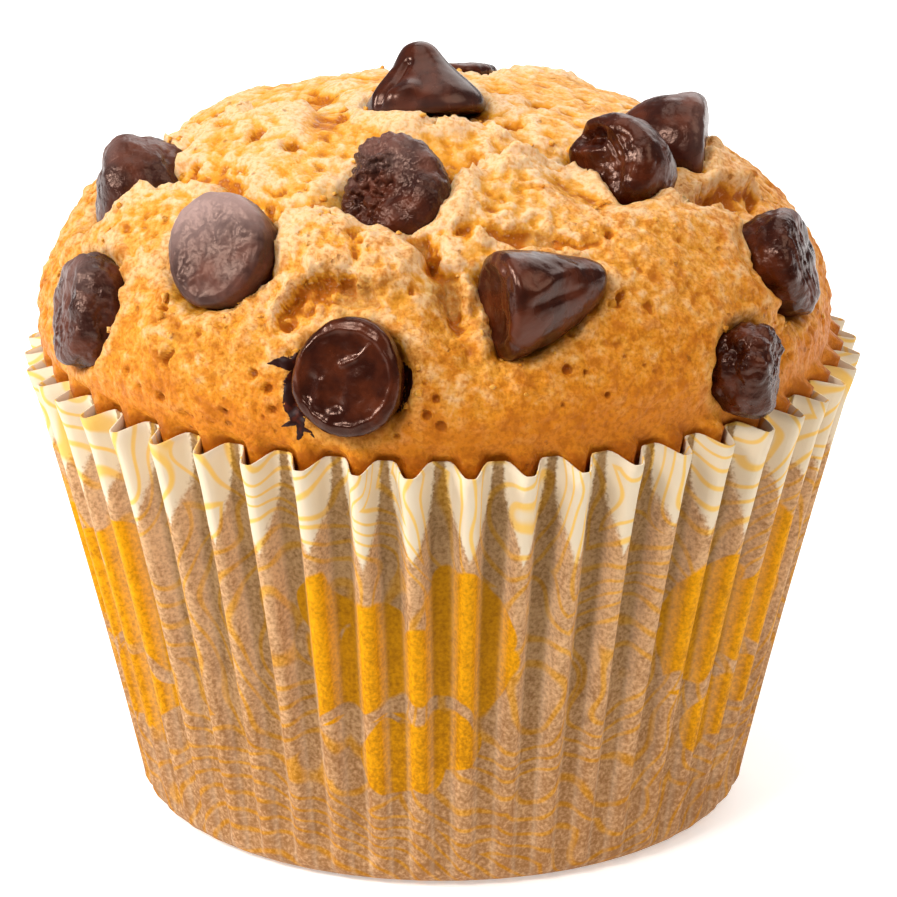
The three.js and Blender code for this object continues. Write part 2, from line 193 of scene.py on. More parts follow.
def turned(turn, radius, height):
    """Points at a turn about the upright axis, a distance from it and a height."""
    points = np.broadcast_arrays(radius * np.cos(turn), radius * np.sin(turn), height)
    return np.stack(points, axis=-1)


def grid_faces(rows, columns, closed=False, first=0):
    """Four-sided faces between the points of a grid that is numbered row by row."""
    row, column = np.meshgrid(np.arange(rows - 1), np.arange(columns - (not closed)), indexing="ij")
    after = (column + 1) % columns
    corners = [row * columns + column, row * columns + after, (row + 1) * columns + after,
               (row + 1) * columns + column]
    return np.stack(corners, axis=-1).reshape(-1, 4) + first


def fan_faces(middle, ring):
    """Triangles from one point to each side of a closed ring of points."""
    return np.stack([np.full(len(ring), middle), ring, np.roll(ring, -1)], axis=1)


def tube_faces(rings, columns, first=0):
    """Faces between rings of points, with a fan over each end. The fans' middles are the two points
    after the rings."""
    around = np.arange(columns)
    middles = first + rings * columns
    return [grid_faces(rings, columns, closed=True, first=first),
            fan_faces(middles, first + around[::-1]),
            fan_faces(middles + 1, middles - columns + around)]


def mesh_object(name, points, *face_groups):
    """A smooth-shaded mesh from points in millimetres and groups of faces."""
    mesh = bpy.data.meshes.new(name)
    faces = [face for group in face_groups for face in group.tolist()]
    mesh.from_pydata((points * MM).tolist(), [], faces)
    mesh.shade_smooth()
    return add_object(name, mesh)


def piece_from(name, points, *face_groups):
    """A mesh piece that rides on the part's one body."""
    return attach(mesh_object(name, points, *face_groups), "root")


def paint(piece, name, values):
    """Stores one number for each point of a piece, or one for all, which its material reads."""
    attribute = piece.data.attributes.new(name, "FLOAT", "POINT")
    numbers = np.broadcast_to(np.asarray(values, dtype=np.float32), len(piece.data.vertices))
    attribute.data.foreach_set("value", np.ascontiguousarray(numbers))


def face_corners(piece):
    """The number of the point at each corner of each face."""
    corners = np.zeros(len(piece.data.loops), dtype=np.int32)
    piece.data.loops.foreach_get("vertex_index", corners)
    return corners


def unwrap(piece, name, places):
    """Gives a piece a UV map from one place for each corner of its faces."""
    layer = piece.data.uv_layers.new(name=name)
    layer.data.foreach_set("uv", places.astype(np.float32).ravel())


class Finish:
    """A material that is built up node by node on one principled shader."""

    def __init__(self, name, **plain):
        """Starts the material, with the shader's plain values by name. Its place is where a point is
        on the muffin, in metres."""
        self.material = bpy.data.materials.new(name)
        self.material.use_nodes = True
        self.tree = self.material.node_tree
        self.shader = self.tree.nodes["Principled BSDF"]
        self.place = self.add("TexCoord", "Object", {})
        self.set(self.shader, plain)

    def set(self, made, inputs):
        """Gives a node's inputs their values, or links from other nodes' outputs."""
        for key, value in inputs.items():
            socket = made.inputs[key.replace("_", " ") if isinstance(key, str) else key]
            if isinstance(value, bpy.types.NodeSocket):
                self.tree.links.new(value, socket)
            else:
                socket.default_value = (*value, 1.0) if socket.type == "RGBA" else value

    def add(self, kind, output, inputs, **options):
        """Adds a node and gives one of its outputs."""
        made = self.tree.nodes.new("ShaderNode" + kind)
        for option, value in options.items():
            setattr(made, option, value)
        self.set(made, inputs)
        return made.outputs[output]

    def painted(self, name):
        """The number that paint() stored under this name."""
        return self.add("Attribute", "Fac", {}, attribute_name=name)

    def math(self, how, first, second=0.0):
        """Two numbers put together, or the first alone where the step takes only one."""
        return self.add("Math", 0, {0: first, 1: second}, operation=how)

    def times(self, first, second):
        """Two numbers multiplied."""
        return self.math("MULTIPLY", first, second)

    def plus(self, first, second):
        """Two numbers added."""
        return self.math("ADD", first, second)

    def swing(self, value, reach):
        """A number from 0 to 1 moved and scaled to run from minus half the reach to half of it."""
        return self.times(self.math("SUBTRACT", value, 0.5), reach)

    def axis(self, vector, number):
        """One of a vector's three numbers."""
        return self.add("SeparateXYZ", number, {0: vector})

    def bent(self, vector, read, scale, reach, middle=0.0, **more):
        """The vector moved about by cloudy noise that is read at another: the noise's three numbers,
        less its middle, times the reach."""
        cloud = self.add("TexNoise", "Color", {"Vector": read, "Scale": scale, **more})
        shift = self.add("VectorMath", 0, {0: cloud, 1: (reach,) * 3, 2: (-middle * reach,) * 3},
                         operation="MULTIPLY_ADD")
        return self.add("VectorMath", 0, {0: vector, 1: shift}, operation="ADD")

    def grain(self, size, detail=2.0, roughness=0.5):
        """Cloudy noise from 0 to 1 over the muffin, whose grains are as wide as size."""
        return self.add("TexNoise", "Fac", {"Vector": self.place, "Scale": 1 / (size * MM),
                                            "Detail": detail, "Roughness": roughness})

    def cells(self, vector, size):
        """Distance to the nearest of scattered middles, in cells as wide as size in the vector's unit."""
        return self.add("TexVoronoi", "Distance", {"Vector": vector, "Scale": 1 / size})

    def step(self, value, low, high, start=0.0, end=1.0):
        """Runs from start, where the value is low, to end, where it is high, with level ends."""
        return self.add("MapRange", 0, {0: value, 1: low, 2: high, 3: start, 4: end},
                        interpolation_type="SMOOTHSTEP")

    def mix(self, share, first, second, how="MIX"):
        """Two colours mixed by a share of the second: the node's third output is the colour."""
        return self.add("Mix", 2, {0: share, 6: first, 7: second}, data_type="RGBA", blend_type=how)

    def relief(self, strength, *layers):
        """The surface's direction over layers of relief, [height, depth in millimetres], lowest first."""
        under = {}
        for height, depth in layers:
            inputs = {"Height": height, "Distance": depth * MM, "Strength": strength, **under}
            under = {"Normal": self.add("Bump", 0, inputs)}
        return under["Normal"]

    def done(self, **patterned):
        """The finished material, with the shader's patterned values by name."""
        self.set(self.shader, patterned)
        return self.material


def flute_reach(share):
    """How far a flute's outline stands out, from 0 in the inner fold to 1 on the crowned outer fold.
    share runs along the pitch from the inner fold's middle."""
    from_outer = np.abs(share - 0.5)
    crown = 1 - CROWN_DROP * (from_outer / 0.25) ** 2
    return crown * (1 - ease(from_outer, *FOLD_SIDE))


def case_profile():
    """Rows of [radius over the flutes, height, flute depth] from the floor's rim to the case's rim:
    a flat floor, a quarter ellipse for the foot and a wall that bows out a little."""
    turn = np.linspace(0, np.pi / 2, FOOT_ROWS)[:, None]
    foot = np.hstack([FLOOR_RADIUS + (FOOT_RADIUS - FLOOR_RADIUS) * np.sin(turn),
                      FOOT_HEIGHT * (1 - np.cos(turn))])
    up = np.linspace(0, 1, WALL_ROWS)[1:, None]
    bowed = (1 - WALL_BOW) * up + WALL_BOW * up * up
    wall = np.hstack([FOOT_RADIUS + (RIM_RADIUS - FOOT_RADIUS) * bowed,
                      FOOT_HEIGHT + (CASE_HEIGHT - FOOT_HEIGHT) * up])
    rows = np.vstack([foot, wall])
    share = rows[:, 1] / CASE_HEIGHT
    depth = FLUTE_DEPTH_FOOT + (FLUTE_DEPTH_RIM - FLUTE_DEPTH_FOOT) * share
    return np.column_stack([rows, depth * ease(rows[:, 1], 0, FOOT_HEIGHT)])


def fluted(column_share, radius, height, depth):
    """Points of the pleated sheet: each stands in from the outer folds by the flute's depth times
    what its outline lacks, with pitch, depth and lean that wander a little from flute to flute."""
    turn = column_share * 2 * np.pi - np.pi / 2 + 0 * height
    ring = turned(turn, FLUTES, height).reshape(-1, 3)
    sway, deepen, lean = (noise(ring * WANDER_STRETCH, WANDER_GRAIN, seed).reshape(turn.shape)
                          for seed in (11, 12, 13))
    up = height / CASE_HEIGHT
    reach = flute_reach((column_share * FLUTES + PITCH_WANDER * sway * up) % 1)
    radius = radius - depth * (1 + DEPTH_WANDER * deepen) * (1 - reach)
    radius = radius + LEAN_WANDER * up * lean - RIM_LEAN * up
    turn = turn + TWIST_WANDER * sway * up
    lift = -RIM_DIP * reach * (1 + RIM_WANDER * lean) * ease(up, 0.9, 1.0)
    return turned(turn, radius, height + lift)


def sheet_normals(points):
    """Normals of a ring-shaped grid, from its differences round and along it. They point outwards
    where the rings run anticlockwise, seen from the last one."""
    around = np.roll(points, -1, axis=1) - np.roll(points, 1, axis=1)
    along = np.gradient(points, axis=0)
    normals = np.cross(around, along)
    return normals / np.linalg.norm(normals, axis=2, keepdims=True)


columns = np.arange(FLUTES * FLUTE_COLUMNS) / (FLUTES * FLUTE_COLUMNS)
profile = case_profile()
outer = fluted(columns[None, :], *(profile[:, k, None] + 0 * columns for k in range(3)))
outer[0, :, 2] = 0
inner = outer - SHEET_THICKNESS * sheet_normals(outer)
inner[0, :, 2] = SHEET_THICKNESS
case_rings = np.concatenate([outer, inner[::-1]])
case_points = np.vstack([case_rings.reshape(-1, 3), [[0, 0, 0], [0, 0, SHEET_THICKNESS]]])
paper = piece_from("pleated_case", case_points, *tube_faces(len(case_rings), len(columns)))
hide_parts("paper_case")


def sheet_places(points, rows):
    """Where each point lay on the flat round sheet, as [turn, radius]: the turn follows the length
    along the pleats, and the radius the length along the wall."""
    steps = np.linalg.norm(np.roll(points, -1, axis=1) - points, axis=2)
    run = np.cumsum(steps, axis=1) / steps.sum(axis=1, keepdims=True)
    turn = np.concatenate([np.zeros((len(points), 1)), run[:, :-1]], axis=1)
    slant = np.concatenate([[0], np.cumsum(np.hypot(*np.diff(rows[:, :2], axis=0).T))])
    return np.stack([turn, FLOOR_RADIUS + slant[:, None] + 0 * turn], axis=-1)


places = sheet_places(outer, profile)
places = np.vstack([np.concatenate([places, places[::-1]]).reshape(-1, 2), [[0, 0], [0, 0]]])
turns = places[:, 0] * 2 * np.pi
unwrap(paper, "sheet", turned(turns, places[:, 1], 0.0)[face_corners(paper), :2])


def field_places(turn, radius):
    """Places across the nearest printed field, in millimetres from the field's middle."""
    sector = ((turn + FIELD_TURN) * FIELDS + 0.5) % 1 - 0.5
    return np.stack([sector * FIELD_PITCH, radius - FIELD_MIDDLE], axis=1)


def field_corners(piece):
    """Places across the printed fields for each corner of each face. A face that crosses from one
    field's place to the next keeps to the side of its first corner."""
    start, total = (np.zeros(len(piece.data.polygons), dtype=np.int32) for _ in range(2))
    piece.data.polygons.foreach_get("loop_start", start)
    piece.data.polygons.foreach_get("loop_total", total)
    local = field_places(*places.T)[face_corners(piece)]
    lead = np.repeat(local[start, 0], total)
    local[:, 0] -= FIELD_PITCH * np.round((local[:, 0] - lead) / FIELD_PITCH)
    return local


unwrap(paper, "fields", field_corners(paper))
shares = np.append(np.tile(columns * FLUTES % 1, len(case_rings)), [0, 0])


def dryness():
    """1 where the sheet has stayed dry: a tongue down each outer fold that is widest at the rim and
    narrows by the square of the way down. The tongues' lengths wander from flute to flute."""
    below = places[:, 1].max() - places[:, 1]
    wander = noise(turned(turns, DRY_CIRCLE, 0.0), DRY_GRAIN, 21)
    length = DRY_LENGTH * (1 + DRY_WANDER * wander)
    half = DRY_HALF_SHARE * (1 - (below / length) ** 2)
    return ease(half - np.abs(shares - 0.5), -DRY_EDGE, DRY_EDGE)


paint(paper, "dry", dryness())
paint(paper, "reach", flute_reach(shares))
# The crests of the outer folds, where a painted highlight goes.
paint(paper, "crest", np.exp(-((np.abs(shares - 0.5) - CREST) / CREST_WIDTH) ** 2))


def ring_ink(f, sheet):
    """1 on thin rings round scattered middles, bent by cloudy noise."""
    bent = f.bent(sheet, sheet, RING_BEND_SCALE, RING_BEND, Detail=1.0)
    rings = f.math("FRACT", f.times(f.cells(bent, RING_CELL), RING_CELL / RING_SPACING))
    off = f.math("ABSOLUTE", f.math("SUBTRACT", rings, 0.5))
    half = RING_HALF / RING_SPACING
    return f.step(off, half * 0.4, half * 1.5, 1.0, 0.0)


def field_ink(f, sheet, field):
    """1 on overlapping discs with a wavy edge, which one pale wavy stripe cuts."""
    bent = f.bent(field, sheet, FIELD_BEND_SCALE, FIELD_BEND, 0.5, Detail=1.0)
    covered = 0.0
    for x, y, radius in FIELD_LOBES:
        gap = f.add("VectorMath", 1, {0: bent, 1: (x, y, 0.0)}, operation="DISTANCE")
        disc = f.step(gap, radius - INK_EDGE, radius + INK_EDGE, 1.0, 0.0)
        covered = f.math("MAXIMUM", covered, disc)
    wave = f.times(f.math("SINE", f.times(f.axis(field, 0), STRIPE_RIPPLE)), STRIPE_SWING)
    off = f.math("ABSOLUTE", f.plus(f.plus(f.axis(bent, 1), STRIPE_DROP), wave))
    return f.times(covered, f.step(off, STRIPE_HALF - STRIPE_EDGE, STRIPE_HALF + STRIPE_EDGE))


def paper_finish():
    """Cream paper mixed with its soaked, mottled self by dryness, and printed with amber ink. The
    soaked paper and its ink have painted shade low down and in the inner folds."""
    f = Finish("greaseproof_paper", Roughness=0.62, Specular_IOR_Level=0.1,
               Specular_Tint=(1.0, 0.8, 0.5))
    sheet = f.add("UVMap", 0, {}, uv_map="sheet")
    rings = ring_ink(f, sheet)
    fields = field_ink(f, sheet, f.add("UVMap", 0, {}, uv_map="fields"))
    height = f.axis(f.place, 2)
    fibre = f.grain(FIBRE, 1.5, 0.6)
    cloud = f.grain(CLOUD)

    # Cloudy patches, and painted shade that darkens the soaked paper low down and pales it near the rim.
    cloud_and_low_shade = f.plus(f.swing(cloud, 0.4), f.step(height, 0.0, 0.03, -0.18, 0.06))
    speckle = f.plus(fibre, cloud_and_low_shade)
    mottle = f.step(speckle, 0.12, 0.84)
    soaked = f.mix(mottle, PAPER_SOAKED_DARK, PAPER_SOAKED_PALE)
    ringed = f.mix(f.times(rings, 0.85), soaked, f.mix(mottle, INK_SOAKED_DARK, INK_LINE_SOAKED))
    inked = f.mix(f.step(speckle, 0.08, 0.80), INK_SOAKED_DARK, INK_SOAKED_PALE)
    # Painted shade in the inner folds, stronger higher up the wall.
    fold = f.times(f.step(f.painted("reach"), 0.35, 0.0), f.step(height, 0.002, 0.026, 0.18, 0.9))
    wet = f.mix(fold, f.mix(fields, ringed, inked), PAPER_FOLD_SHADE, "MULTIPLY")

    cream = f.mix(f.times(cloud, 0.2), PAPER_DRY, PAPER_SOAKED_PALE)
    crisp = f.mix(f.times(f.math("MAXIMUM", fields, rings), 0.9), cream, INK_DRY)
    dry = f.step(f.plus(f.painted("dry"), f.swing(fibre, 0.7)), 0.25, 0.8)
    # A painted highlight along each crest, with drier paper there, in the dry paper's colour.
    crest_highlit = f.mix(f.times(f.painted("crest"), 0.16), f.mix(dry, wet, crisp), PAPER_DRY)
    return f.done(Base_Color=crest_highlit, Normal=f.relief(0.4, (fibre, FIBRE_RELIEF)))


paper.data.materials.append(paper_finish())


# ---------------------------------------------------------------- chocolate chips
# Dark baking chips, poured as drops on a flat belt, so each has a flat round base and a point. They
# lie at all angles in the crust, and baking has dulled, dented and wrinkled them.
DOME_RADIUS = 31.9
DOME_RISE = 18.1
DOME_CENTRE = np.array([-0.6, 0.0, 40.5])

CHIP_EDGE = 0.6
CHIP_COLUMNS = 144
CHIP_ROWS = {"base": 34, "edge": 8, "flank": 50}
BASE_CROWDING = 0.8  # the power that crowds the base's rows towards its edge
TIP_CROWDING = 1.25  # and the flank's rows towards the tip
UNEVEN = (0.04, 0.03)  # shares of the radius by which its outline swells, twice and thrice round
CHIP_APART = 40  # from chip to chip in the noise, so that no two are alike
WRINKLES = [(0.22, 2.4), (0.16, 1.2), (0.08, 0.55)]  # [height, grain]
BLISTERS = [(0.9, 1.25), (0.6, 0.6)]  # [height, size]
BLISTER_LEVEL = 0.6  # where a blister's side crosses the smooth surface, with 1 at its top
BURST_GRAIN = 3.5

CHOCOLATE_DARK = (0.022, 0.0024, 0.0006)
CHOCOLATE_WARM = (0.082, 0.013, 0.0022)
# Grey of the bloom, also used as a painted sheen.
CHOCOLATE_BLOOM_AND_SHEEN = (0.36, 0.24, 0.215)

# What the chips' finish adds, in millimetres: patches of warmer brown, and pocks, creases and
# blisters that are too small for their shapes, each with its relief.
PATCH = 2.6
POCK = 0.4
POCK_RELIEF = 0.1
CREASE = 1.2
CREASE_RELIEF = 0.25
BLISTER = 0.7
BLISTER_RELIEF = 0.4

# A chip is stubby at full = 1, or at full = 0 a drawn-out drop, whose point stays as thick as neck and
# narrows sooner the more it is slim. Its point may curl back, and its base has a rounded edge. Baking
# gave it folds, by wrinkle; blisters, by pebble, in patches or to the side that burst points to; and a
# bulge of the base. A grey on its base is partly chocolate bloom and partly painted sheen, mostly high
# up and to the left, where the light falls.
CHIP_USUAL = dict(full=1, neck=0.3, slim=1, curl=0, edge=CHIP_EDGE, wrinkle=0.5, pebble=0, burst=(0, 0),
                  bloom=0, bulge=0)


def poured(seat, out, tip, radius, height, **more):
    """A chip whose base's middle stands out from its seat on the dome, with the heading and pitch of
    its tip, and what is unusual about it."""
    return dict(CHIP_USUAL, seat=seat, out=out, tip=tip, radius=radius, height=height, **more)


CHIPS = [
    poured((-106, 5.4), -1.5, (105, 68), 4.75, 6.2, full=0.08, neck=0.34, slim=1.35, wrinkle=0.15,
           bloom=0.1),
    poured((-169, 54.4), 1.7, (2, -10), 4.4, 8.6, edge=2.0, wrinkle=1.0, pebble=0.12, bloom=0.35),
    poured((-153.2, 77.2), 1.4, (14, -13), 4.55, 7.0, edge=1.4, wrinkle=1.0, pebble=0.30, bloom=0.35),
    poured((-128.3, 55.6), 1.7, (50, -30), 4.55, 6.4, wrinkle=0.45, pebble=0.16, bloom=1.0, bulge=0.35),
    poured((-101.2, 35.7), 1.1, (53, -35), 4.3, 6.6, edge=1.3, wrinkle=1.4, pebble=1.05,
           burst=(-0.9, -0.2), bloom=0.2),
    poured((-101.8, 78), 1.5, (73, -14), 4.4, 6.3, wrinkle=0.35),
    poured((-80.6, 62.5), 1.0, (22, 0), 4.2, 8.9, full=0.15, neck=0.5, curl=0.12, wrinkle=0.35,
           bloom=0.03),
    poured((-45.7, 35), 1.1, (42, -19), 4.2, 6.6, edge=1.2, wrinkle=0.6),
    poured((-5.6, 41.9), 0.9, (174, 0), 4.15, 7.6, edge=1.2, wrinkle=0.4, bloom=0.15),
    poured((-22.2, 68.7), 2.0, (167, -16), 4.45, 6.8, edge=1.1, wrinkle=0.8, pebble=0.08),
    poured((-39.6, 85.9), 2.2, (168, -2), 3.6, 6.3, edge=1.3, wrinkle=0.9, pebble=0.5, burst=(0, 0.6)),
    poured((86, 25), 0.4, (-94, -74), 4.4, 5.0),
    poured((40, 80), 1.0, (-150, -12), 4.4, 6.3, edge=1.2, wrinkle=1.0),
    poured((66, 67), 0.5, (150, -18), 4.2, 8.0, full=0.15, neck=0.45, curl=0.1, wrinkle=0.3),
    poured((92, 80), 1.3, (-88, -14), 4.5, 6.5, bloom=0.4, bulge=0.2),
    poured((112, 64), 0.6, (-60, -30), 4.6, 6.4, edge=1.2, wrinkle=1.0, pebble=0.2),
    poured((138, 79), 0.9, (-28, -20), 4.4, 6.6, edge=1.1, wrinkle=0.7),
]


def circle(radius):
    """Places round a chip's base, as far as radius from its middle, that end where they began."""
    return turned(np.radians(np.linspace(0, 360, 15)), radius, 0.0)[:, :2].tolist()


# Marks that baking and handling left on single chips, by chip number: each is a line of places on
# the chip, [side, point, back], or [side, back] on its base, the line's half width, and its height,
# below 0 for a groove.
MARKS = {
    1: [([(-1.5, 4.5, 1.7), (-2.7, 2.9, 2.4), (-4.0, 1.2, 2.3)], 0.35, -0.50),
        ([(-2.9, 1.6, 3.3), (-2.0, 2.1, 3.6)], 0.90, 0.35),
        ([(-2.6, 4.0, 0.9), (-3.8, 1.9, 1.2)], 0.50, 0.25), ([(-3.0, 1.2, 2.2)], 1.5, 0.40)],
    3: [([(3.0, 0.6, 3.3), (3.6, 2.0, 2.0), (3.8, 2.6, 0.0)], 0.80, -0.50),
        ([(2.0, 3.4), (1.9, 1.0), (2.4, -2.6)], 0.16, -0.12),
        ([(3.1, 2.6), (3.2, 0.0), (3.2, -2.0)], 0.16, 0.10)],
    4: [([(-0.15, 2.9)], 0.48, -0.08), ([(-0.15, 2.9)], 0.30, 0.12), ([(-0.45, 3.9)], 0.30, -0.25),
        ([(1.1, 1.5)], 0.70, 0.18), ([(1.7, 1.9), (1.9, 1.3)], 0.18, -0.14),
        ([(0.1, 0.9), (0.5, 0.4)], 0.18, -0.10), ([(0.1, 0.5)], 0.45, 0.08),
        ([(-1.85, 0.9)], 0.40, -0.12), ([(-1.35, 1.6)], 0.25, -0.10),
        ([(-0.9, -3.2), (-0.3, -2.6), (0.4, -2.3)], 0.30, 0.14),
        ([(1.1, -2.1), (1.5, -2.5)], 0.25, 0.10), ([(0.7, -1.2)], 0.60, 0.08),
        ([(2.0, -0.2)], 0.50, 0.08), ([(2.8, 1.8)], 0.50, 0.08), ([(-2.6, -1.0)], 0.70, 0.10)],
    5: [([(-0.6, -1.6), (1.0, -2.0)], 0.80, 0.30),
        ([(-1.6, -3.6), (-1.6, -1.5), (-1.0, 0.6)], 0.30, -0.40), ([(-0.9, 1.8)], 0.50, 0.30)],
    6: [(circle(3.75), 0.20, 0.12), ([(-0.36, 1.0), (0.15, 1.2), (0.7, 1.5)], 0.24, 0.17),
        ([(0.7, 1.5), (1.3, 2.0), (1.8, 2.7)], 0.14, 0.08),
        ([(-0.8, 3.0), (-0.6, 1.5), (-0.3, -0.8)], 0.70, -0.13),
        ([(-2.6, -0.3), (-2.9, -1.5)], 0.45, -0.24), ([(-1.9, -0.4), (-2.0, -2.2)], 0.35, 0.14),
        ([(-0.5, -2.0)], 0.55, -0.24), ([(-1.2, -3.4), (-0.8, -2.8)], 0.50, 0.14),
        ([(0.6, -0.4), (0.9, -2.0)], 1.0, 0.12), ([(2.2, 0.4), (2.4, -1.4)], 0.6, -0.10),
        ([(-1.8, 2.4), (-2.6, 1.4)], 0.9, 0.08)],
    7: [([(0.7, 2.6), (0.72, 0.0)], 0.45, 0.26),
        ([(1.7, 3.3), (1.9, 1.2), (1.7, -1.0)], 0.22, -0.20),
        ([(3.9, 1.5, 1.8), (3.3, 3.2, 2.5), (2.0, 5.6, 2.8)], 0.50, 0.22),
        ([(3.9, 1.6, 0.9), (3.5, 3.4, 1.2), (2.6, 5.6, 1.3)], 0.40, -0.25),
        (circle(3.2), 0.40, 0.22), ([(0.2, 1.6), (0.2, -1.2)], 1.30, -0.45)],
    8: [([(-2.5, 1.5), (-0.9, 1.9)], 0.55, -0.90),
        ([(-3.4, 2.3), (-1.8, 3.0), (0.3, 2.9)], 0.50, 0.40),
        ([(-3.2, 0.3), (-1.1, 0.8)], 0.80, 0.50),
        ([(0.6, 2.6), (2.4, 1.0), (2.9, -1.4)], 0.18, 0.14),
        ([(0.2, 1.8), (1.7, 0.4), (2.1, -1.8)], 0.16, -0.14),
        ([(2.2, 2.8), (3.4, 1.2), (3.6, -0.8)], 0.16, 0.12)],
    10: [([(-3.0, 2.4), (-2.9, 0.0), (-2.2, -2.8)], 0.20, 0.16),
         ([(-2.1, 2.8), (-2.0, 0.0), (-1.4, -3.0)], 0.20, -0.18),
         ([(-1.0, 3.2), (-0.8, 0.0), (-0.4, -3.2)], 0.22, 0.18),
         ([(0.4, 3.4), (0.8, 0.4), (0.8, -2.8)], 0.18, -0.12)],
    11: [([(-2.4, 3.2, 2.6), (-2.9, 2.4, 2.3)], 0.60, -0.60)],
}


def unit(vectors):
    """The same directions with length 1."""
    return vectors / np.linalg.norm(vectors, axis=-1, keepdims=True)


def heading(azimuth, pitch):
    """Unit directions from an azimuth and an angle above the horizon, in degrees."""
    pitch = np.radians(pitch)
    return turned(np.radians(azimuth), np.cos(pitch), np.sin(pitch))


def dome(azimuth, fall):
    """Points of the smooth dome: half of a flattened ball, and a little below its widest line."""
    away = heading(azimuth, 90 - np.asarray(fall))
    return DOME_CENTRE + away * (DOME_RADIUS, DOME_RADIUS, DOME_RISE)


def dome_normal(points):
    """Outward normals of the smooth dome at its points: offsets over squared half-axes."""
    return unit((points - DOME_CENTRE) / (DOME_RADIUS ** 2, DOME_RADIUS ** 2, DOME_RISE ** 2))


def cobbles(points, size, seed):
    """Round lumps packed side by side: 1 less the squared distance, in lumps, to the nearest of the
    middles, of which one is seeded in each cube."""
    rng = np.random.default_rng(seed)
    table = rng.permutation(256)
    middles = rng.uniform(0.1, 0.9, (256, 3))
    cube = np.floor(points / size).astype(int)
    nearest = np.full(len(points), 9.0)
    for step in itertools.product((-1, 0, 1), repeat=3):
        middle = cube + step + middles[shuffled(table, cube + step)]
        nearest = np.minimum(nearest, ((points / size - middle) ** 2).sum(axis=1))
    return 1 - nearest


def chip_frame(chip):
    """The middle of a chip's base and its three directions as rows: side, point and back."""
    seat = dome(*chip["seat"])
    point = heading(*chip["tip"])
    side = unit(np.cross(point, (0, 0, 1)))
    return seat + chip["out"] * dome_normal(seat), np.array([side, point, np.cross(side, point)])


def chip_radius(chip, share):
    """Radius at a share of the height: a blend of a drawn-out drop with hollow flanks and a stubby
    one with full flanks."""
    flare = ((1 + np.cos(np.pi * share)) / 2) ** chip["slim"]
    drawn = chip["neck"] * np.sqrt(1 - share ** 8) + (1 - chip["neck"]) * flare
    stubby = np.sqrt(1 - share * share)
    return chip["radius"] * (drawn * (1 - chip["full"]) + stubby * chip["full"])


def chip_grid(chip, number):
    """A chip's points, row by row from the middle of the base over its rounded edge and along the
    flank to the tip. The outline is a little uneven and the point is curled back."""
    edge, tall = chip["edge"], chip["height"]
    base = np.linspace(0, 1, CHIP_ROWS["base"])[1:] ** BASE_CROWDING
    round_off = np.linspace(0, np.pi / 2, CHIP_ROWS["edge"])[1:]
    share = 1 - (1 - np.linspace(0, 1, CHIP_ROWS["flank"])[1:-1]) ** TIP_CROWDING
    rim = chip["radius"] - edge
    radius = np.concatenate([rim * base, rim + edge * np.sin(round_off), chip_radius(chip, share)])
    height = np.concatenate([0 * base, edge * (1 - np.cos(round_off)), edge + (tall - edge) * share])
    turn = np.linspace(0, 2 * np.pi, CHIP_COLUMNS, endpoint=False)
    twice, thrice = UNEVEN
    uneven = 1 + twice * np.sin(2 * turn + number) + thrice * np.sin(3 * turn + 2 * number)
    curl = chip["curl"] * tall * (height / tall) ** 2
    ring = turned(turn, uneven, 0.0)[:, [0, 2, 1]]
    points = radius[:, None, None] * ring + np.stack([0 * height, height, curl], axis=-1)[:, None, :]
    return points, np.array([0, tall, chip["curl"] * tall])


def segment_gap(points, first, last):
    """Distances from points to the nearest place between two ends."""
    first, last = np.array(first), np.array(last)
    along = (points - first) @ (last - first) / max(((last - first) ** 2).sum(), 1e-9)
    return np.linalg.norm(points - first - np.clip(along, 0, 1)[:, None] * (last - first), axis=1)


def mark_push(points, marks):
    """Ridges and grooves with a bell-shaped section along their lines."""
    push = np.zeros(len(points))
    for line, width, height in marks:
        line = [place if len(place) == 3 else (place[0], 0, place[1]) for place in line]
        gap = np.min([segment_gap(points, *ends) for ends in zip(line, line[1:] or line)], axis=0)
        push += height * np.exp(-(gap / width) ** 2)
    return push


def make_chip(chip, number):
    """Builds one chip: its grid, pushed out and in along its normals by what baking did to it. The
    rings run clockwise, seen from the tip, so the normals and the faces are both turned round."""
    name = f"chip_{number + 1:02d}"
    grid, tip = chip_grid(chip, number)
    points = np.vstack([grid.reshape(-1, 3), [[0, 0, 0], tip]])
    normals = np.vstack([-sheet_normals(grid).reshape(-1, 3), [[0, -1, 0], [0, 1, 0]]])
    spots = points + CHIP_APART * number
    push = chip["wrinkle"] * sum(height * noise(spots, grain, 31 + k)
                                 for k, (height, grain) in enumerate(WRINKLES))
    blisters = sum(height * (cobbles(spots, size, 34 + k) - BLISTER_LEVEL)
                   for k, (height, size) in enumerate(BLISTERS))
    towards = points[:, [0, 2]] @ chip["burst"] + noise(spots, BURST_GRAIN, 36)
    blistered = chip["pebble"] * ease(towards, -0.35, 0.25)
    push += blistered * blisters
    across = np.hypot(points[:, 0], points[:, 2]) / chip["radius"]
    push += chip["bulge"] * (1 - across ** 2) * (points[:, 1] < 0.01)
    push += mark_push(points, MARKS.get(number + 1, []))
    centre, axes = chip_frame(chip)
    faces = [group[:, ::-1] for group in tube_faces(len(grid), CHIP_COLUMNS)]
    piece = piece_from(name + "_chocolate", centre + (points + push[:, None] * normals) @ axes, *faces)
    # Partly bloom, partly painted sheen: lightest high up and to the left on the base, where the light
    # falls, and none up the flank.
    high = ease(points[:, 2] - 0.5 * points[:, 0], -1.5, 5.0)
    on_base = ease(-points[:, 1], -1.6, -0.3)
    paint(piece, "bloom", chip["bloom"] * (0.1 + 0.9 * high * on_base))
    paint(piece, "dull", chip["bloom"])
    paint(piece, "wrinkle", chip["wrinkle"])
    paint(piece, "blistered", blistered)
    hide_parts(name)
    return piece


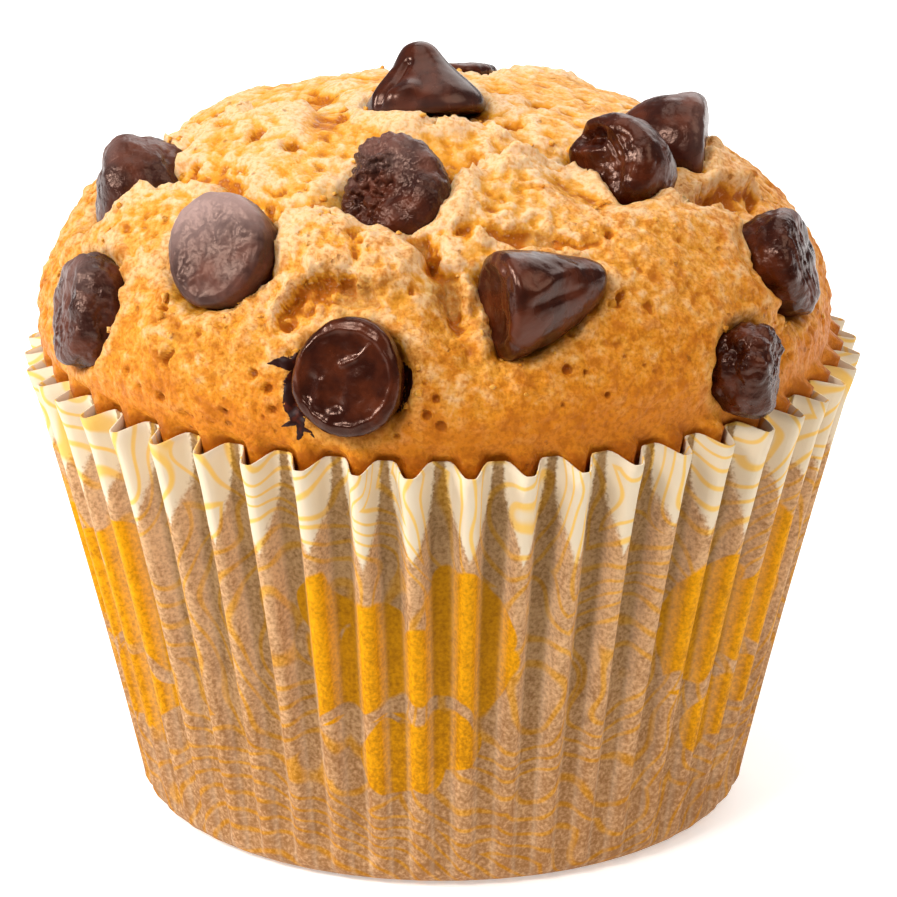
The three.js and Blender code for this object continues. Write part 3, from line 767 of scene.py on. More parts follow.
def chocolate_finish():
    """Dark chocolate, satin, with fine pocks and creases where it is wrinkled, blisters where it is
    blistered, and in patches a thin grey that is partly bloom and partly painted sheen."""
    f = Finish("dark_chocolate", Specular_IOR_Level=0.46, Specular_Tint=(1.0, 0.62, 0.48))
    patches = f.grain(PATCH, 3.0)
    base = f.mix(f.step(patches, 0.35, 0.7), CHOCOLATE_DARK, CHOCOLATE_WARM)
    # Grey in patches: partly bloom, partly painted sheen.
    grey_sheen_and_bloom = f.times(f.step(patches, 0.2, 0.6, 0.6, 1.0), f.painted("bloom"))
    wrinkle = f.painted("wrinkle")
    pocks = f.times(f.grain(POCK, 3.0, 0.6), f.plus(wrinkle, f.times(grey_sheen_and_bloom, 0.8)))
    creases = f.times(f.grain(CREASE), wrinkle)
    blisters = f.times(f.times(f.cells(f.place, BLISTER * MM), -1.0), f.painted("blistered"))
    relief = f.relief(0.8, (blisters, BLISTER_RELIEF), (creases, CREASE_RELIEF), (pocks, POCK_RELIEF))
    dull = f.plus(f.step(patches, 0.3, 0.7, 0.20, 0.30), f.times(f.painted("dull"), 0.15))
    return f.done(Base_Color=f.mix(grey_sheen_and_bloom, base, CHOCOLATE_BLOOM_AND_SHEEN), Roughness=dull, Normal=relief)


chocolate = chocolate_finish()
for number, chip in enumerate(CHIPS):
    make_chip(chip, number).data.materials.append(chocolate)


# ---------------------------------------------------------------- cake
# One piece of baked crumb: a craggy domed crust that has split and lifted as it rose, turned in at
# the rim and filling the flutes below. It is golden on the crown and browner towards the case.
SKIRT_FALL = 94  # the crust's lower edge
SKIRT_FADE = 10  # above it, where the large forms run out
CRUST_CELLS = 296
SPAN_SAMPLES = 16
LINE_STEP = 0.5
LEDGE_FACE = 0.35
END_FADE = 2.5  # at each end of a line, and never more than a share of its length
END_SHARE = 0.35
BROKEN_REACH = 1.6  # how far to each side of a line the crumb is rougher
CHIP_SEAT = 1.1
CHIP_SEAT_REACH = 6.5
WARP_GRAINS = (2.6, 0.9)  # of the noise that makes lines and lumps uneven
LINE_WARP = (0.65, 0.35)

# The crumb's own relief, in millimetres: wide swells, lumps packed side by side, as [height, size,
# flatness], and two sizes of grit.
SWELL = 0.30
SWELL_GRAIN = 7.5
CRUMB_LUMPS = [(0.72, 4.0, 1.5), (0.52, 1.7, 1.4)]
CRUMB_LUMP_LEVEL = 0.7  # where a lump's side crosses the smooth surface, with 1 at its top
CRUMB_WARP = (0.9, 0.4)
GRIT = (0.10, 0.16)  # at no roughness, and how much more at a roughness of 1
GRIT_GRAIN = 0.85
DUST = 0.05
DUST_GRAIN = 0.5
ROUGH_LEAST = 0.45
ROUGH_BY_SPLITS = 0.7
ROUGH_IN_PATCHES = 0.45
ROUGH_GRAIN = 9.0
CALM_SHARE = 0.4
CALM_BELOW = 9  # above the dome's widest line, from where it grows calm over the fade
CALM_FADE = 7

# The crust beside a chip: a crumbly lip, its place, width and height, a narrow gap, and how far it
# sinks under the chip.
LIP_OUT = 0.9
LIP_WIDTH = 0.7
LIP_HEIGHT = 0.42
LIP_RAGGED = 0.25
LIP_GRAIN = 1.3
GAP_DEPTH = 0.5
UNDER_CHIP = 1.6

# The side in the case, as [height, gap to the paper] of its rings.
PLUG_RINGS = [(CASE_HEIGHT + 0.25, 0.35), (CASE_HEIGHT - 0.8, 0.45), (20.0, 0.6), (2.2, 0.6)]
PLUG_FLOOR = 0.65
PLUG_FOOT = 0.9  # the floor's radius, as a share of the lowest ring's
PLUG_FILL = 0.55  # how deep the cake stands in the flutes, as a share of their depth

# A ledge is a line along which one side of the crust has lifted over the other. It is high on the
# left of its travel, seen from outside: [line, rise, its reach, drop, its reach].
LEDGES = [
    ([(-161, 16), (-170, 25), (-175, 31), (-171, 44), (-162, 58), (-170, 69)], 1.6, 5, 1.7, 5),
    ([(-138, 40), (-146, 44), (-155, 48), (-163, 55)], 0.9, 4, 0.9, 3),
    ([(-95, 44), (-103, 44), (-107, 42), (-114, 39), (-119, 44), (-121, 55)], 1.1, 4, 0.8, 3),
    ([(-28, 78), (-31, 69), (-30, 54), (-35, 48), (-40, 42), (-46, 38), (-50, 31), (-67, 27), (-78, 29),
      (-87, 35), (-94, 42)], 1.5, 9, 2.1, 5),
    ([(-116, 68), (-113, 60), (-109, 57), (-104, 57), (-99, 59), (-96, 62)], 1.0, 3, 1.1, 3),
    ([(-140, 73), (-135, 75), (-129, 74), (-124, 71), (-116, 68)], 0.5, 1.5, -0.4, 3),
    ([(-46, 19), (-62, 15), (-83, 15), (-93, 19)], 0.8, 4, 0.8, 3),
    ([(-28, 47), (-22, 46), (-13, 49), (-5, 56)], 0.8, 4, 0.9, 3),
    ([(128, 52), (112, 58), (92, 57), (74, 62), (58, 66)], 1.0, 6, 1.4, 4),
    ([(40, 34), (62, 32), (84, 28), (104, 24)], 0.8, 5, 1.2, 4),
    ([(166, 48), (156, 56), (150, 66), (154, 76)], 0.8, 5, 0.9, 4),
]

# A crack is a line along which the crust has sunk on both sides: [line, depth, width].
CRACKS = [
    ([(-162, 48), (-153, 41), (-135, 41), (-121, 43)], 1.2, 1.0),
    ([(-105, 43), (-104, 48), (-102, 55)], 0.9, 0.45),
    ([(-94, 43), (-91, 49), (-89, 54), (-87, 60), (-85, 68)], 1.7, 0.95),
    ([(-84, 42), (-77, 46), (-71, 47), (-64, 50), (-58, 50)], 0.6, 0.5),
    ([(-90, 25), (-85, 28), (-78, 29), (-70, 28)], 1.2, 0.7),
    ([(70, 44), (88, 46), (104, 40)], 1.1, 0.9),
    ([(20, 58), (34, 52), (50, 50)], 1.1, 0.9),
]

# A gash is a short tear in the skin, made like a crack.
GASHES = [
    ([(-175, 36), (-174, 30)], 0.9, 0.9), ([(-151, 31), (-148, 28)], 0.8, 0.6),
    ([(-139, 29), (-136, 26)], 1.0, 0.9), ([(-167, 42), (-165, 37)], 0.9, 0.9),
    ([(-121, 45), (-120, 43), (-118, 40)], 1.2, 1.0), ([(-213, 21), (-173, 15)], 1.0, 1.2),
    ([(-141, 18), (-149, 15)], 0.8, 0.6), ([(29, 8), (8, 11)], 0.8, 0.8),
    ([(-2, 14), (-10, 17)], 1.1, 0.8), ([(-48, 15), (-41, 17)], 1.1, 0.7),
    ([(-86, 43), (-81, 45)], 1.0, 0.9), ([(-79, 47), (-72, 47), (-63, 51)], 0.8, 1.0),
    ([(-57, 49), (-59, 51)], 1.0, 0.45), ([(-37, 48), (-36, 49)], 0.6, 0.4),
    ([(-20, 47), (-16, 51), (-17, 53)], 1.1, 0.9), ([(-10, 54), (-9, 57)], 0.9, 0.8),
    ([(-62, 62), (-61, 64)], 0.8, 0.5), ([(-58, 66), (-56, 66)], 0.6, 0.45),
    ([(-113, 64), (-112, 66), (-112, 69)], 1.0, 0.8), ([(-129, 76), (-130, 81)], 0.5, 0.35),
    ([(-93, 44), (-92, 48)], 1.1, 0.8), ([(-92, 50), (-88, 49)], 0.9, 0.7),
    ([(-34, 64), (-34, 68)], 0.5, 0.3), ([(-147, 35), (-137, 37)], 0.6, 0.5),
    ([(60, 20), (72, 16)], 0.9, 0.8), ([(118, 50), (108, 53)], 0.9, 0.7),
    ([(70, 66), (80, 70), (84, 76)], 0.8, 0.6), ([(150, 34), (160, 40)], 0.9, 0.8),
]

# A lump is a round swelling: [place, radius, height].
LUMPS = [
    ((-118, 13), 5, 0.9), ((-111, 50), 4.5, 0.7), ((-98, 51), 3.8, 0.7), ((-45, 62), 10, 0.6),
    ((-152, 33), 7, 0.5), ((95, 68), 8, 0.7), ((140, 44), 6, 0.7), ((52, 46), 6, 0.6),
    ((-5, 43), 6, 1.8), ((-97, 14), 4.5, 0.9), ((-31, 64), 3.5, -1.0), ((-115.5, 58), 3, -0.4),
]

# A pit is a burst bubble: [place, radius, depth].
PITS = [
    ((-134, 69), 0.5, 0.7), ((-134, 67), 0.3, 0.4), ((-113, 53), 0.3, 0.5), ((-112, 52), 0.25, 0.4),
    ((-48, 49), 1.3, 0.7), ((-58, 50), 0.5, 0.6), ((-62, 63), 0.4, 0.6),
    ((-116, 79), 0.5, 0.5), ((-68, 78), 0.5, 0.4), ((-120, 89), 0.3, 0.5), ((-122, 93), 0.3, 0.5),
    ((-95, 91), 0.4, 0.4), ((-84, 44), 0.6, 0.6), ((-151, 30), 0.7, 0.6), ((-138, 28), 0.7, 0.6),
    ((-85, 28), 0.9, 0.8), ((-58, 66), 0.5, 0.4), ((-61.5, 62.2), 0.6, 0.7),
]

# Pores are small pits, spread evenly over the crust down to a fall. Their depth is a share of their
# radius.
PORES = 420
PORE_RADII = (0.28, 0.62)
PORE_DEPTH = 0.9
PORE_FALL = 93

# Where a split has opened so far that the paler inner crumb shows: [place, radius].
OPENINGS = [((-88, 57), 2.4), ((-102, 61), 2.6), ((-116, 36), 1.9), ((-93, 46), 1.1), ((-70, 48), 1.6),
            ((92, 44), 2.2), ((36, 52), 1.8)]

# Where the crust stayed taut and smooth: [place, radius].
CALM = [((-50, 58), 17), ((-30, 74), 12), ((-135, 84), 10), ((60, 76), 10)]

# The pale colour is a painted highlight on what stands out and on specks of grain; the amber and hollow
# colours are painted shade in the hollows, and also the crumb's own darker flecks and dots.
CRUMB_PALE_HIGHLIGHT = (0.80, 0.55, 0.32)
CRUMB_WARM = (0.75, 0.38, 0.085)
CRUMB_GOLD = (0.78, 0.35, 0.055)
CRUMB_AMBER = (0.66, 0.26, 0.010)
CRUMB_TOAST = (0.71, 0.25, 0.012)
CRUMB_RIM = (0.64, 0.20, 0.010)
CRUMB_SPLIT = (0.74, 0.33, 0.03)
CRUMB_HOLLOW = (0.40, 0.10, 0.003)
CRUMB_OPEN = (0.62, 0.35, 0.09)
CRUMB_PORE = (0.20, 0.05, 0.005)

# How far the crust lies below the mean of the cells around it is painted on it, at a wide and at a
# fine reach, and gives painted shade in the hollows and painted highlight on what stands out:
# [cells, the depth that counts as 1].
HOLLOW = (6, 0.6)
FINE_HOLLOW = (2, 0.2)

# What the crumb's finish adds, in millimetres: patches, flecks, grain, granules and fine pores, the
# noise that bends the last two, and the relief of the granules and the grain.
SHADE_PATCH = 5.5
FLECK = 1.4
GRAIN = 0.38
GRANULE = 0.62
FINE_PORE = 1.7
BEND_GRAIN = 0.8
BEND_REACH = 0.7
GRANULE_RELIEF = 0.2
GRAIN_RELIEF = 0.16


def smooth_line(line):
    """Samples of a smooth line over the dome through the given places: a cubic between each two
    knots that is led by the knots before and after."""
    knots = dome(*np.array(line, dtype=float).T)
    knots = np.vstack([2 * knots[0] - knots[1], knots, 2 * knots[-1] - knots[-2]])
    a, b, c, d = (knots[k:len(knots) - 3 + k, None] for k in range(4))
    t = np.linspace(0, 1, SPAN_SAMPLES, endpoint=False)[:, None]
    squared = (2 * a - 5 * b + 4 * c - d) * t ** 2
    cubed = (3 * b - a - 3 * c + d) * t ** 3
    curve = 0.5 * (2 * b + (c - a) * t + squared + cubed)
    curve = np.vstack([curve.reshape(-1, 3), knots[-2]])
    along = np.concatenate([[0], np.cumsum(np.linalg.norm(np.diff(curve, axis=0), axis=1))])
    even = np.linspace(0, along[-1], int(along[-1] / LINE_STEP) + 2)
    return np.stack([np.interp(even, along, curve[:, k]) for k in range(3)], axis=1), even


def beside(points, line):
    """How far points lie to the left of a line, and a weight that fades out at its two ends."""
    samples, along = smooth_line(line)
    travel = unit(np.gradient(samples, axis=0))
    left = unit(np.cross(dome_normal(samples), travel))
    squares = (samples ** 2).sum(axis=1) - 2 * points @ samples.T
    nearest = squares.argmin(axis=1)
    offset = points - samples[nearest]
    run = along[nearest] + (offset * travel[nearest]).sum(axis=1)
    fade = min(END_FADE, END_SHARE * along[-1])
    weight = ease(run, 0, fade) * ease(along[-1] - run, 0, fade)
    return (offset * left[nearest]).sum(axis=1), weight


def ledge_height(side, rise, rise_reach, drop, drop_reach):
    """A step: it rises towards the line on the high side and falls away from it on the low side."""
    high = rise * np.exp(-np.maximum(side, 0) / rise_reach)
    low = -drop * np.exp(np.minimum(side, 0) / drop_reach)
    share = ease(side, -LEDGE_FACE, LEDGE_FACE)
    return high * share + low * (1 - share)


def crack_height(side, depth, width):
    """A furrow with a bell-shaped section."""
    return -depth * np.exp(-(side / width) ** 2)


def spot_height(points, place, radius, height, flat=0.4):
    """A round lump, or a pit where the height is negative, that is flat out to a share of its radius."""
    away = np.linalg.norm(points - dome(*place), axis=1)
    return height * (1 - ease(away, flat * radius, radius))


def chip_clearance(points, chip):
    """Roughly how far points are outside a chip: the larger of the ways past its flank and base."""
    centre, axes = chip_frame(chip)
    local = (points - centre) @ axes.T
    edge, tall = chip["edge"], chip["height"]
    share = np.clip((local[:, 1] - edge) / (tall - edge), 0, 1)
    curl = chip["curl"] * tall * np.clip(local[:, 1] / tall, 0, 1) ** 2
    across = np.hypot(local[:, 0], local[:, 2] - curl) - chip_radius(chip, share)
    return np.maximum(np.maximum(across, -local[:, 1]), local[:, 1] - tall)


def warped(points, reaches, seed):
    """The points moved about by a coarse and a fine noise, each with its own reach, so that the lines
    and lumps read there are uneven."""
    coarse, fine = WARP_GRAINS
    return points + np.stack([reaches[0] * noise(points, coarse, seed + k)
                              + reaches[1] * noise(points, fine, seed + 3 + k) for k in range(3)], axis=1)


def main_relief(points):
    """The crust's large forms, and a measure of how broken the crumb is beside them."""
    bent = warped(points, LINE_WARP, 41)
    height, broken = np.zeros(len(points)), np.zeros(len(points))
    for shape, items in ((ledge_height, LEDGES), (crack_height, CRACKS + GASHES)):
        for line, *sizes in items:
            side, weight = beside(bent, line)
            height += weight * shape(side, *sizes)
            broken = np.maximum(broken, weight * np.exp(-np.abs(side) / BROKEN_REACH))
    for item in LUMPS:
        height += spot_height(points, *item)
    for chip in CHIPS:
        height -= spot_height(points, chip["seat"], CHIP_SEAT_REACH, CHIP_SEAT, 0.5)
    return height, broken


def crumb_relief(points, broken):
    """Lumps of crumb with creases between them, rougher beside the splits and calmer on the big lobe
    and low down, and burst bubbles."""
    bent = warped(points, CRUMB_WARP, 56)
    calm = np.max([spot_height(points, *item, 1.0) for item in CALM], axis=0)
    low = ease(DOME_CENTRE[2] + CALM_BELOW - points[:, 2], 0, CALM_FADE)
    patchy = ease(noise(points, ROUGH_GRAIN, 53), -0.2, 0.6)
    rough = ROUGH_LEAST + ROUGH_BY_SPLITS * broken + ROUGH_IN_PATCHES * patchy
    rough *= 1 - CALM_SHARE * np.maximum(calm, low)
    height = SWELL * noise(points, SWELL_GRAIN, 54)
    for k, (high, size, flatness) in enumerate(CRUMB_LUMPS):
        height += high * (cobbles(bent * (1, 1, flatness), size, 51 + k) - CRUMB_LUMP_LEVEL) * rough
    grit = (GRIT[0] + GRIT[1] * rough) * noise(points, GRIT_GRAIN, 55)
    height += grit + DUST * noise(points, DUST_GRAIN, 59)
    for place, radius, depth in PITS:
        height += spot_height(points, place, radius, -depth)
    rng = np.random.default_rng(7)
    for turn, sink, radius in zip(rng.uniform(-180, 180, PORES), rng.uniform(0, 1, PORES),
                                  rng.uniform(*PORE_RADII, PORES)):
        fall = np.degrees(np.arccos(1 - sink * (1 - np.cos(np.radians(PORE_FALL)))))
        height += spot_height(points, (turn, fall), radius, -PORE_DEPTH * radius)
    return height


def chip_pockets(points):
    """The crust beside the chips: a crumbly lip, a narrow gap, and well sunk where the chip is."""
    height, lip_near = np.zeros(len(points)), np.zeros(len(points))
    ragged = noise(points, LIP_GRAIN, 61)
    for chip in CHIPS:
        clear = chip_clearance(points, chip) + LIP_RAGGED * ragged
        lip = np.exp(-((clear - LIP_OUT) / LIP_WIDTH) ** 2)
        height += LIP_HEIGHT * lip * (0.7 + 0.5 * ragged) - GAP_DEPTH * (1 - ease(clear, -0.1, 0.4))
        height -= UNDER_CHIP * ease(-clear, 0.2, 2.0)
        lip_near = np.maximum(lip_near, lip)
    return height, lip_near


def square_disc(cells):
    """Azimuth and fall for a square grid folded into a disc: each square ring becomes a circle."""
    steps = np.linspace(-1, 1, cells + 1)
    u, v = np.meshgrid(steps, steps, indexing="ij")
    wide = np.abs(u) >= np.abs(v)
    reach, other = np.where(wide, u, v), np.where(wide, v, u)
    lean = 45 * other / np.where(reach == 0, 1, reach)
    azimuth = np.where(wide, lean, 90 - lean) + 180 * (reach < 0)
    return azimuth.ravel(), np.abs(reach).ravel() * SKIRT_FALL


def blurred(grid, reach):
    """The grid averaged over a bell-shaped patch, as wide as reach cells."""
    steps = np.arange(-2 * reach, 2 * reach + 1)
    bell = np.exp(-0.5 * (steps / reach) ** 2)
    bell /= bell.sum()
    for axis in (0, 1):
        padded = np.pad(grid, [(2 * reach,) * 2 if k == axis else (0, 0) for k in (0, 1)], mode="edge")
        grid = sum(weight * np.take(padded, np.arange(grid.shape[axis]) + step, axis=axis)
                   for step, weight in enumerate(bell))
    return grid


def crust_at(azimuth, fall):
    """The finished crust over places on the dome: its points, its height over the smooth dome, and
    how broken it is, splits and chips' lips alike."""
    smooth = dome(azimuth, fall)
    normal = dome_normal(smooth)
    large, broken = main_relief(smooth)
    fade = ease(SKIRT_FALL - fall, 0, SKIRT_FADE)
    height = large * fade
    height += crumb_relief(smooth + height[:, None] * normal, broken) * ease(SKIRT_FALL - fall, -2, 5)
    pocket, lip = chip_pockets(smooth + height[:, None] * normal)
    height += pocket * fade
    return smooth + height[:, None] * normal, height, np.maximum(broken, 0.7 * lip)


azimuth, fall = square_disc(CRUST_CELLS)
crust, total, broken = crust_at(azimuth, fall)
smooth = dome(azimuth, fall)

side = CRUST_CELLS + 1
numbers = np.arange(side * side).reshape(side, side)
edge = np.concatenate([numbers[:-1, 0], numbers[-1, :-1], numbers[:0:-1, -1], numbers[0, :0:-1]])


def plug_ring(height, gap):
    """A ring of the cake's side: it fills each flute of the case, less the gap."""
    share = (azimuth[edge] / 360 + 0.25) % 1
    radius, depth = (np.interp(min(height, CASE_HEIGHT), profile[:, 1], profile[:, k]) for k in (0, 2))
    radius = radius - depth * (1 - PLUG_FILL * flute_reach(share * FLUTES % 1)) - gap
    return turned(np.radians(azimuth[edge]), radius, height)


plug_rings = [plug_ring(*item) for item in PLUG_RINGS]
foot_ring = plug_rings[-1] * (PLUG_FOOT, PLUG_FOOT, 0) + (0, 0, PLUG_FLOOR)
cake_points = np.vstack([crust, *plug_rings, foot_ring, [[0, 0, PLUG_FLOOR]]])
first_plug = len(crust)
around = np.arange(len(edge))
joint = np.stack([edge, first_plug + around, first_plug + (around + 1) % len(edge), np.roll(edge, -1)],
                 axis=1)
cake = piece_from("baked_cake", cake_points,
                  grid_faces(side, side)[:, ::-1], joint,
                  grid_faces(len(plug_rings) + 1, len(edge), closed=True, first=first_plug)[:, ::-1],
                  fan_faces(len(cake_points) - 1, len(cake_points) - 2 - around))
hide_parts("cake")


def paint_cake(name, crust_values, plug_value):
    """Stores a number for each point of the crust, and one for the side and floor in the case."""
    paint(cake, name, np.append(crust_values, np.full(len(cake_points) - first_plug, plug_value)))


def sunk_by(reach, full):
    """How far the crust lies below the mean of the cells around it, from -1 to 1."""
    square = total.reshape(side, side)
    return np.clip((blurred(square, reach) - square).ravel() / full, -1, 1)


# Browner towards the case, as the crust baked; the left of the crown is painted paler, as painted light,
# and the right half browner, as painted shade.
towards_case = ease(fall, 20, 88) + 0.6 * ease(fall, 80, 95)
lit_left_crown = ease(-smooth[:, 0], 2, 20) * ease(-fall, -62, -40)
shaded_right_half = ease(smooth[:, 0], -2, 14)
# Painted shade in the hollows and creases, and painted highlight on what stands out; the cake's side in
# the flutes is painted as deep in shade.
paint_cake("hollow", sunk_by(*HOLLOW), 0.9)
paint_cake("crease", sunk_by(*FINE_HOLLOW), 0.0)
paint_cake("browning_and_side_light", towards_case - 0.4 * lit_left_crown + 0.15 * shaded_right_half, 1.6)
paint_cake("open", np.max([spot_height(smooth, *item, 1.0) for item in OPENINGS], axis=0), 0.0)
paint_cake("broken", np.clip(broken, 0, 1), 0.0)


def crust_finish():
    """Golden crumb with a painted highlight on what stands out and painted shade of saturated orange in
    the hollows, painted paler on the left of the crown and browner on the right, browner downwards,
    with fine grain, dark pores and some light passing through."""
    f = Finish("baked_crumb", Specular_IOR_Level=0.3, Specular_Tint=(1.0, 0.70, 0.38),
               Subsurface_Weight=0.2, Subsurface_Radius=(1.0, 0.5, 0.15), Subsurface_Scale=MM)
    patches = f.grain(SHADE_PATCH, 3.0, 0.6)
    flecks = f.grain(FLECK, 3.0, 0.6)
    grain = f.grain(GRAIN, 2.0, 0.6)
    bent = f.bent(f.place, f.place, 1 / (BEND_GRAIN * MM), BEND_REACH * MM)
    browning_and_side_light = f.plus(f.plus(f.painted("browning_and_side_light"), f.swing(patches, 0.9)), f.swing(flecks, 2.2))
    sunk = f.plus(f.painted("hollow"), f.times(f.painted("crease"), 0.6))
    sunk = f.plus(sunk, f.swing(flecks, 1.9))
    hole = f.step(f.cells(bent, FINE_PORE * MM), 0.08, 0.17, 1.0, 0.0)
    pore = f.times(hole, f.step(flecks, 0.47, 0.57))

    colour = f.mix(f.step(browning_and_side_light, 0.0, 0.62), CRUMB_WARM, CRUMB_GOLD)
    dots = f.mix(f.step(browning_and_side_light, 0.0, 0.8), CRUMB_AMBER, CRUMB_HOLLOW)
    # The amber and deep orange coats where the crust lies sunk are painted shade, and the pale coats
    # where it stands out and on specks of grain are painted highlight.
    for share, coat in [
        (f.step(browning_and_side_light, 0.55, 1.2), CRUMB_TOAST),
        (f.step(browning_and_side_light, 1.05, 1.6), CRUMB_RIM),
        (f.step(f.painted("broken"), 0.1, 0.8, 0.0, 0.6), CRUMB_SPLIT),
        (f.times(f.step(sunk, 0.0, 0.45), f.step(browning_and_side_light, 0.5, 1.3, 0.9, 0.0)), CRUMB_AMBER),
        (f.step(sunk, 0.35, 1.1), CRUMB_HOLLOW),
        (f.times(f.step(sunk, -0.02, -0.75), f.step(browning_and_side_light, 1.1, 0.0, 0.12, 0.9)), CRUMB_PALE_HIGHLIGHT),
        (f.step(f.painted("open"), 0.1, 0.9, 0.0, 0.6), CRUMB_OPEN),
        (f.times(f.step(flecks, 0.50, 0.70, 0.0, 0.55), f.step(browning_and_side_light, 0.3, 1.2)), CRUMB_HOLLOW),
        (f.step(grain, 0.30, 0.58, 0.6, 0.0), dots),
        (f.times(f.step(grain, 0.56, 0.72, 0.0, 0.35), f.step(browning_and_side_light, 1.7, 0.2)), CRUMB_PALE_HIGHLIGHT),
        (f.times(pore, 0.5), CRUMB_PORE),
    ]:
        colour = f.mix(share, colour, coat)

    dry = f.step(patches, 0.40, 0.62, 0.55, 1.0)
    granules = f.math("SUBTRACT", f.times(f.cells(bent, GRANULE * MM), -0.7), pore)
    relief = f.relief(0.7, (f.times(granules, dry), GRANULE_RELIEF), (f.times(grain, dry), GRAIN_RELIEF))
    return f.done(Base_Color=colour, Roughness=f.step(grain, 0.3, 0.7, 0.65, 0.42), Normal=relief)


cake.data.materials.append(crust_finish())


# ---------------------------------------------------------------- melted chocolate
# Chocolate that melted out of the chips and ran into the cracks beside them while the cake baked.
# Each smear is a thin patch that lies in the crust.
MELT_THIN = (0.085, 0.011, 0.003)
MELT_RISE = 0.07  # from its edge up to its top
MELT_SINK = 0.45  # and down to its underside, in the crust
MELT_LOWER = 0.03  # how far its edge is let into the crust
MELT_FULL_WIDTH = 0.3  # the half width from which a smear has its full thickness
MELT_UNEVEN = 0.25
MELT_GRAIN = 0.6
MELT_FLECK = 0.8
MELT_ROWS = 36
MELT_COLUMNS = 20

# The line of each smear: [azimuth, fall, half width] at places along it.
MELTS = [
    [(-107.5, 74.8, 1.05), (-110.4, 75.2, 0.90), (-112.4, 75.7, 0.50), (-114.2, 76.3, 0.04)],
    [(-109.9, 76.4, 0.35), (-110.2, 79.5, 0.62), (-110.0, 83.0, 0.76), (-109.0, 87.0, 0.88),
     (-108.4, 90.0, 0.72), (-108.5, 92.4, 0.30), (-108.9, 93.8, 0.26)],
    [(-109.0, 89.2, 0.30), (-110.3, 90.0, 0.20), (-111.2, 90.8, 0.03)],
    [(-108.2, 90.6, 0.25), (-107.0, 91.6, 0.18), (-106.4, 92.8, 0.04)],
    [(-94.6, 72.7, 0.20), (-93.9, 75.5, 0.42), (-93.8, 78.5, 0.48), (-94.4, 81.5, 0.52),
     (-95.4, 84.6, 0.48), (-96.8, 87.0, 0.30), (-98.0, 88.2, 0.08)],
    [(-96.0, 40.0, 0.40), (-98.0, 43.0, 0.35), (-101.0, 44.0, 0.04)],
    [(48.0, 78.0, 0.50), (53.0, 80.0, 0.40), (57.0, 84.0, 0.04)],
    [(112.0, 70.0, 0.50), (110.0, 76.0, 0.40), (110.6, 80.0, 0.04)],
]


def dome_places(points):
    """Azimuth and fall, in degrees, of the smooth dome's places under points."""
    away = unit((points - DOME_CENTRE) / (DOME_RADIUS, DOME_RADIUS, DOME_RISE))
    return np.degrees(np.arctan2(away[:, 1], away[:, 0])), np.degrees(np.arccos(away[:, 2]))


def melt_rings(line):
    """Rings round a smear: flat ellipses across its line, laid on the crust, with an uneven edge and
    round ends."""
    samples, along = smooth_line([place[:2] for place in line])
    run = np.linspace(0.01, 0.99, MELT_ROWS)
    middles = np.stack([np.interp(run * along[-1], along, samples[:, k]) for k in range(3)], axis=1)
    travel = unit(np.gradient(middles, axis=0))
    across = np.cross(dome_normal(middles), travel)
    width = np.interp(run, np.linspace(0, 1, len(line)), [place[2] for place in line])
    width *= (1 - (2 * run - 1) ** 8) ** 0.5 * (1 + MELT_UNEVEN * noise(middles, MELT_GRAIN, 71))
    turn = np.linspace(0, 2 * np.pi, MELT_COLUMNS, endpoint=False)
    edges = middles[:, None, :] + (width[:, None] * np.cos(turn))[:, :, None] * across[:, None, :]
    flat_points = edges.reshape(-1, 3)
    ground, *_ = crust_at(*dome_places(flat_points))
    lift = np.where(np.sin(turn) > 0, MELT_RISE, MELT_SINK) * np.sin(turn) - MELT_LOWER
    thick = np.minimum(1, width / MELT_FULL_WIDTH)[:, None] * lift
    return ground + thick.reshape(-1, 1) * dome_normal(flat_points)


def melted_finish():
    """Chocolate that has soaked into the crumb: duller than a chip, and red-brown where it is thin."""
    f = Finish("melted_chocolate", Roughness=0.45, Specular_IOR_Level=0.2)
    thin = f.step(f.grain(MELT_FLECK), 0.5, 0.7)
    return f.done(Base_Color=f.mix(thin, CHOCOLATE_DARK, MELT_THIN))


melt_points, melt_faces = [], []
for line in MELTS:
    rings = melt_rings(line)
    melt_faces += tube_faces(MELT_ROWS, MELT_COLUMNS, first=sum(len(group) for group in melt_points))
    ends = np.array([rings[:MELT_COLUMNS].mean(axis=0), rings[-MELT_COLUMNS:].mean(axis=0)])
    melt_points += [rings, ends]
melted = piece_from("melted_chocolate", np.vstack(melt_points), *melt_faces)
melted.data.materials.append(melted_finish())


# ---------------------------------------------------------------- crumbs
# Loose crumbs of the baked crust, caught round the chips and in the rough crust between them.
CRUMB_COUNT = 260
CRUMB_SIZES = (0.16, 0.42)
CRUMB_RAGGED = 0.35
CRUMB_STRETCH = (0.7, 1.2)
CRUMB_REACH = (4.2, 6.8)  # from a chip's seat
CRUMB_RISE = 0.35  # how far its middle stands out of the crust, as a share of its size
BARE_SKIRT = 8  # degrees above the crust's lower edge that hold no crumbs


def crumb_ball():
    """Directions and faces of a small ball: an octahedron with each side parted into four."""
    corners = np.array([[1, 0, 0], [-1, 0, 0], [0, 1, 0], [0, -1, 0], [0, 0, 1], [0, 0, -1]], dtype=float)
    sides = [(0, 2, 4), (2, 1, 4), (1, 3, 4), (3, 0, 4), (2, 0, 5), (1, 2, 5), (3, 1, 5), (0, 3, 5)]
    pairs = sorted({tuple(sorted((side[k], side[k - 1]))) for side in sides for k in range(3)})
    middle = {pair: 6 + number for number, pair in enumerate(pairs)}
    points = unit(np.vstack([corners, [corners[a] + corners[b] for a, b in pairs]]))
    faces = []
    for a, b, c in sides:
        ab, bc, ca = (middle[tuple(sorted(pair))] for pair in ((a, b), (b, c), (c, a)))
        faces += [(a, ab, ca), (ab, b, bc), (ca, bc, c), (ab, bc, ca)]
    return points, np.array(faces)


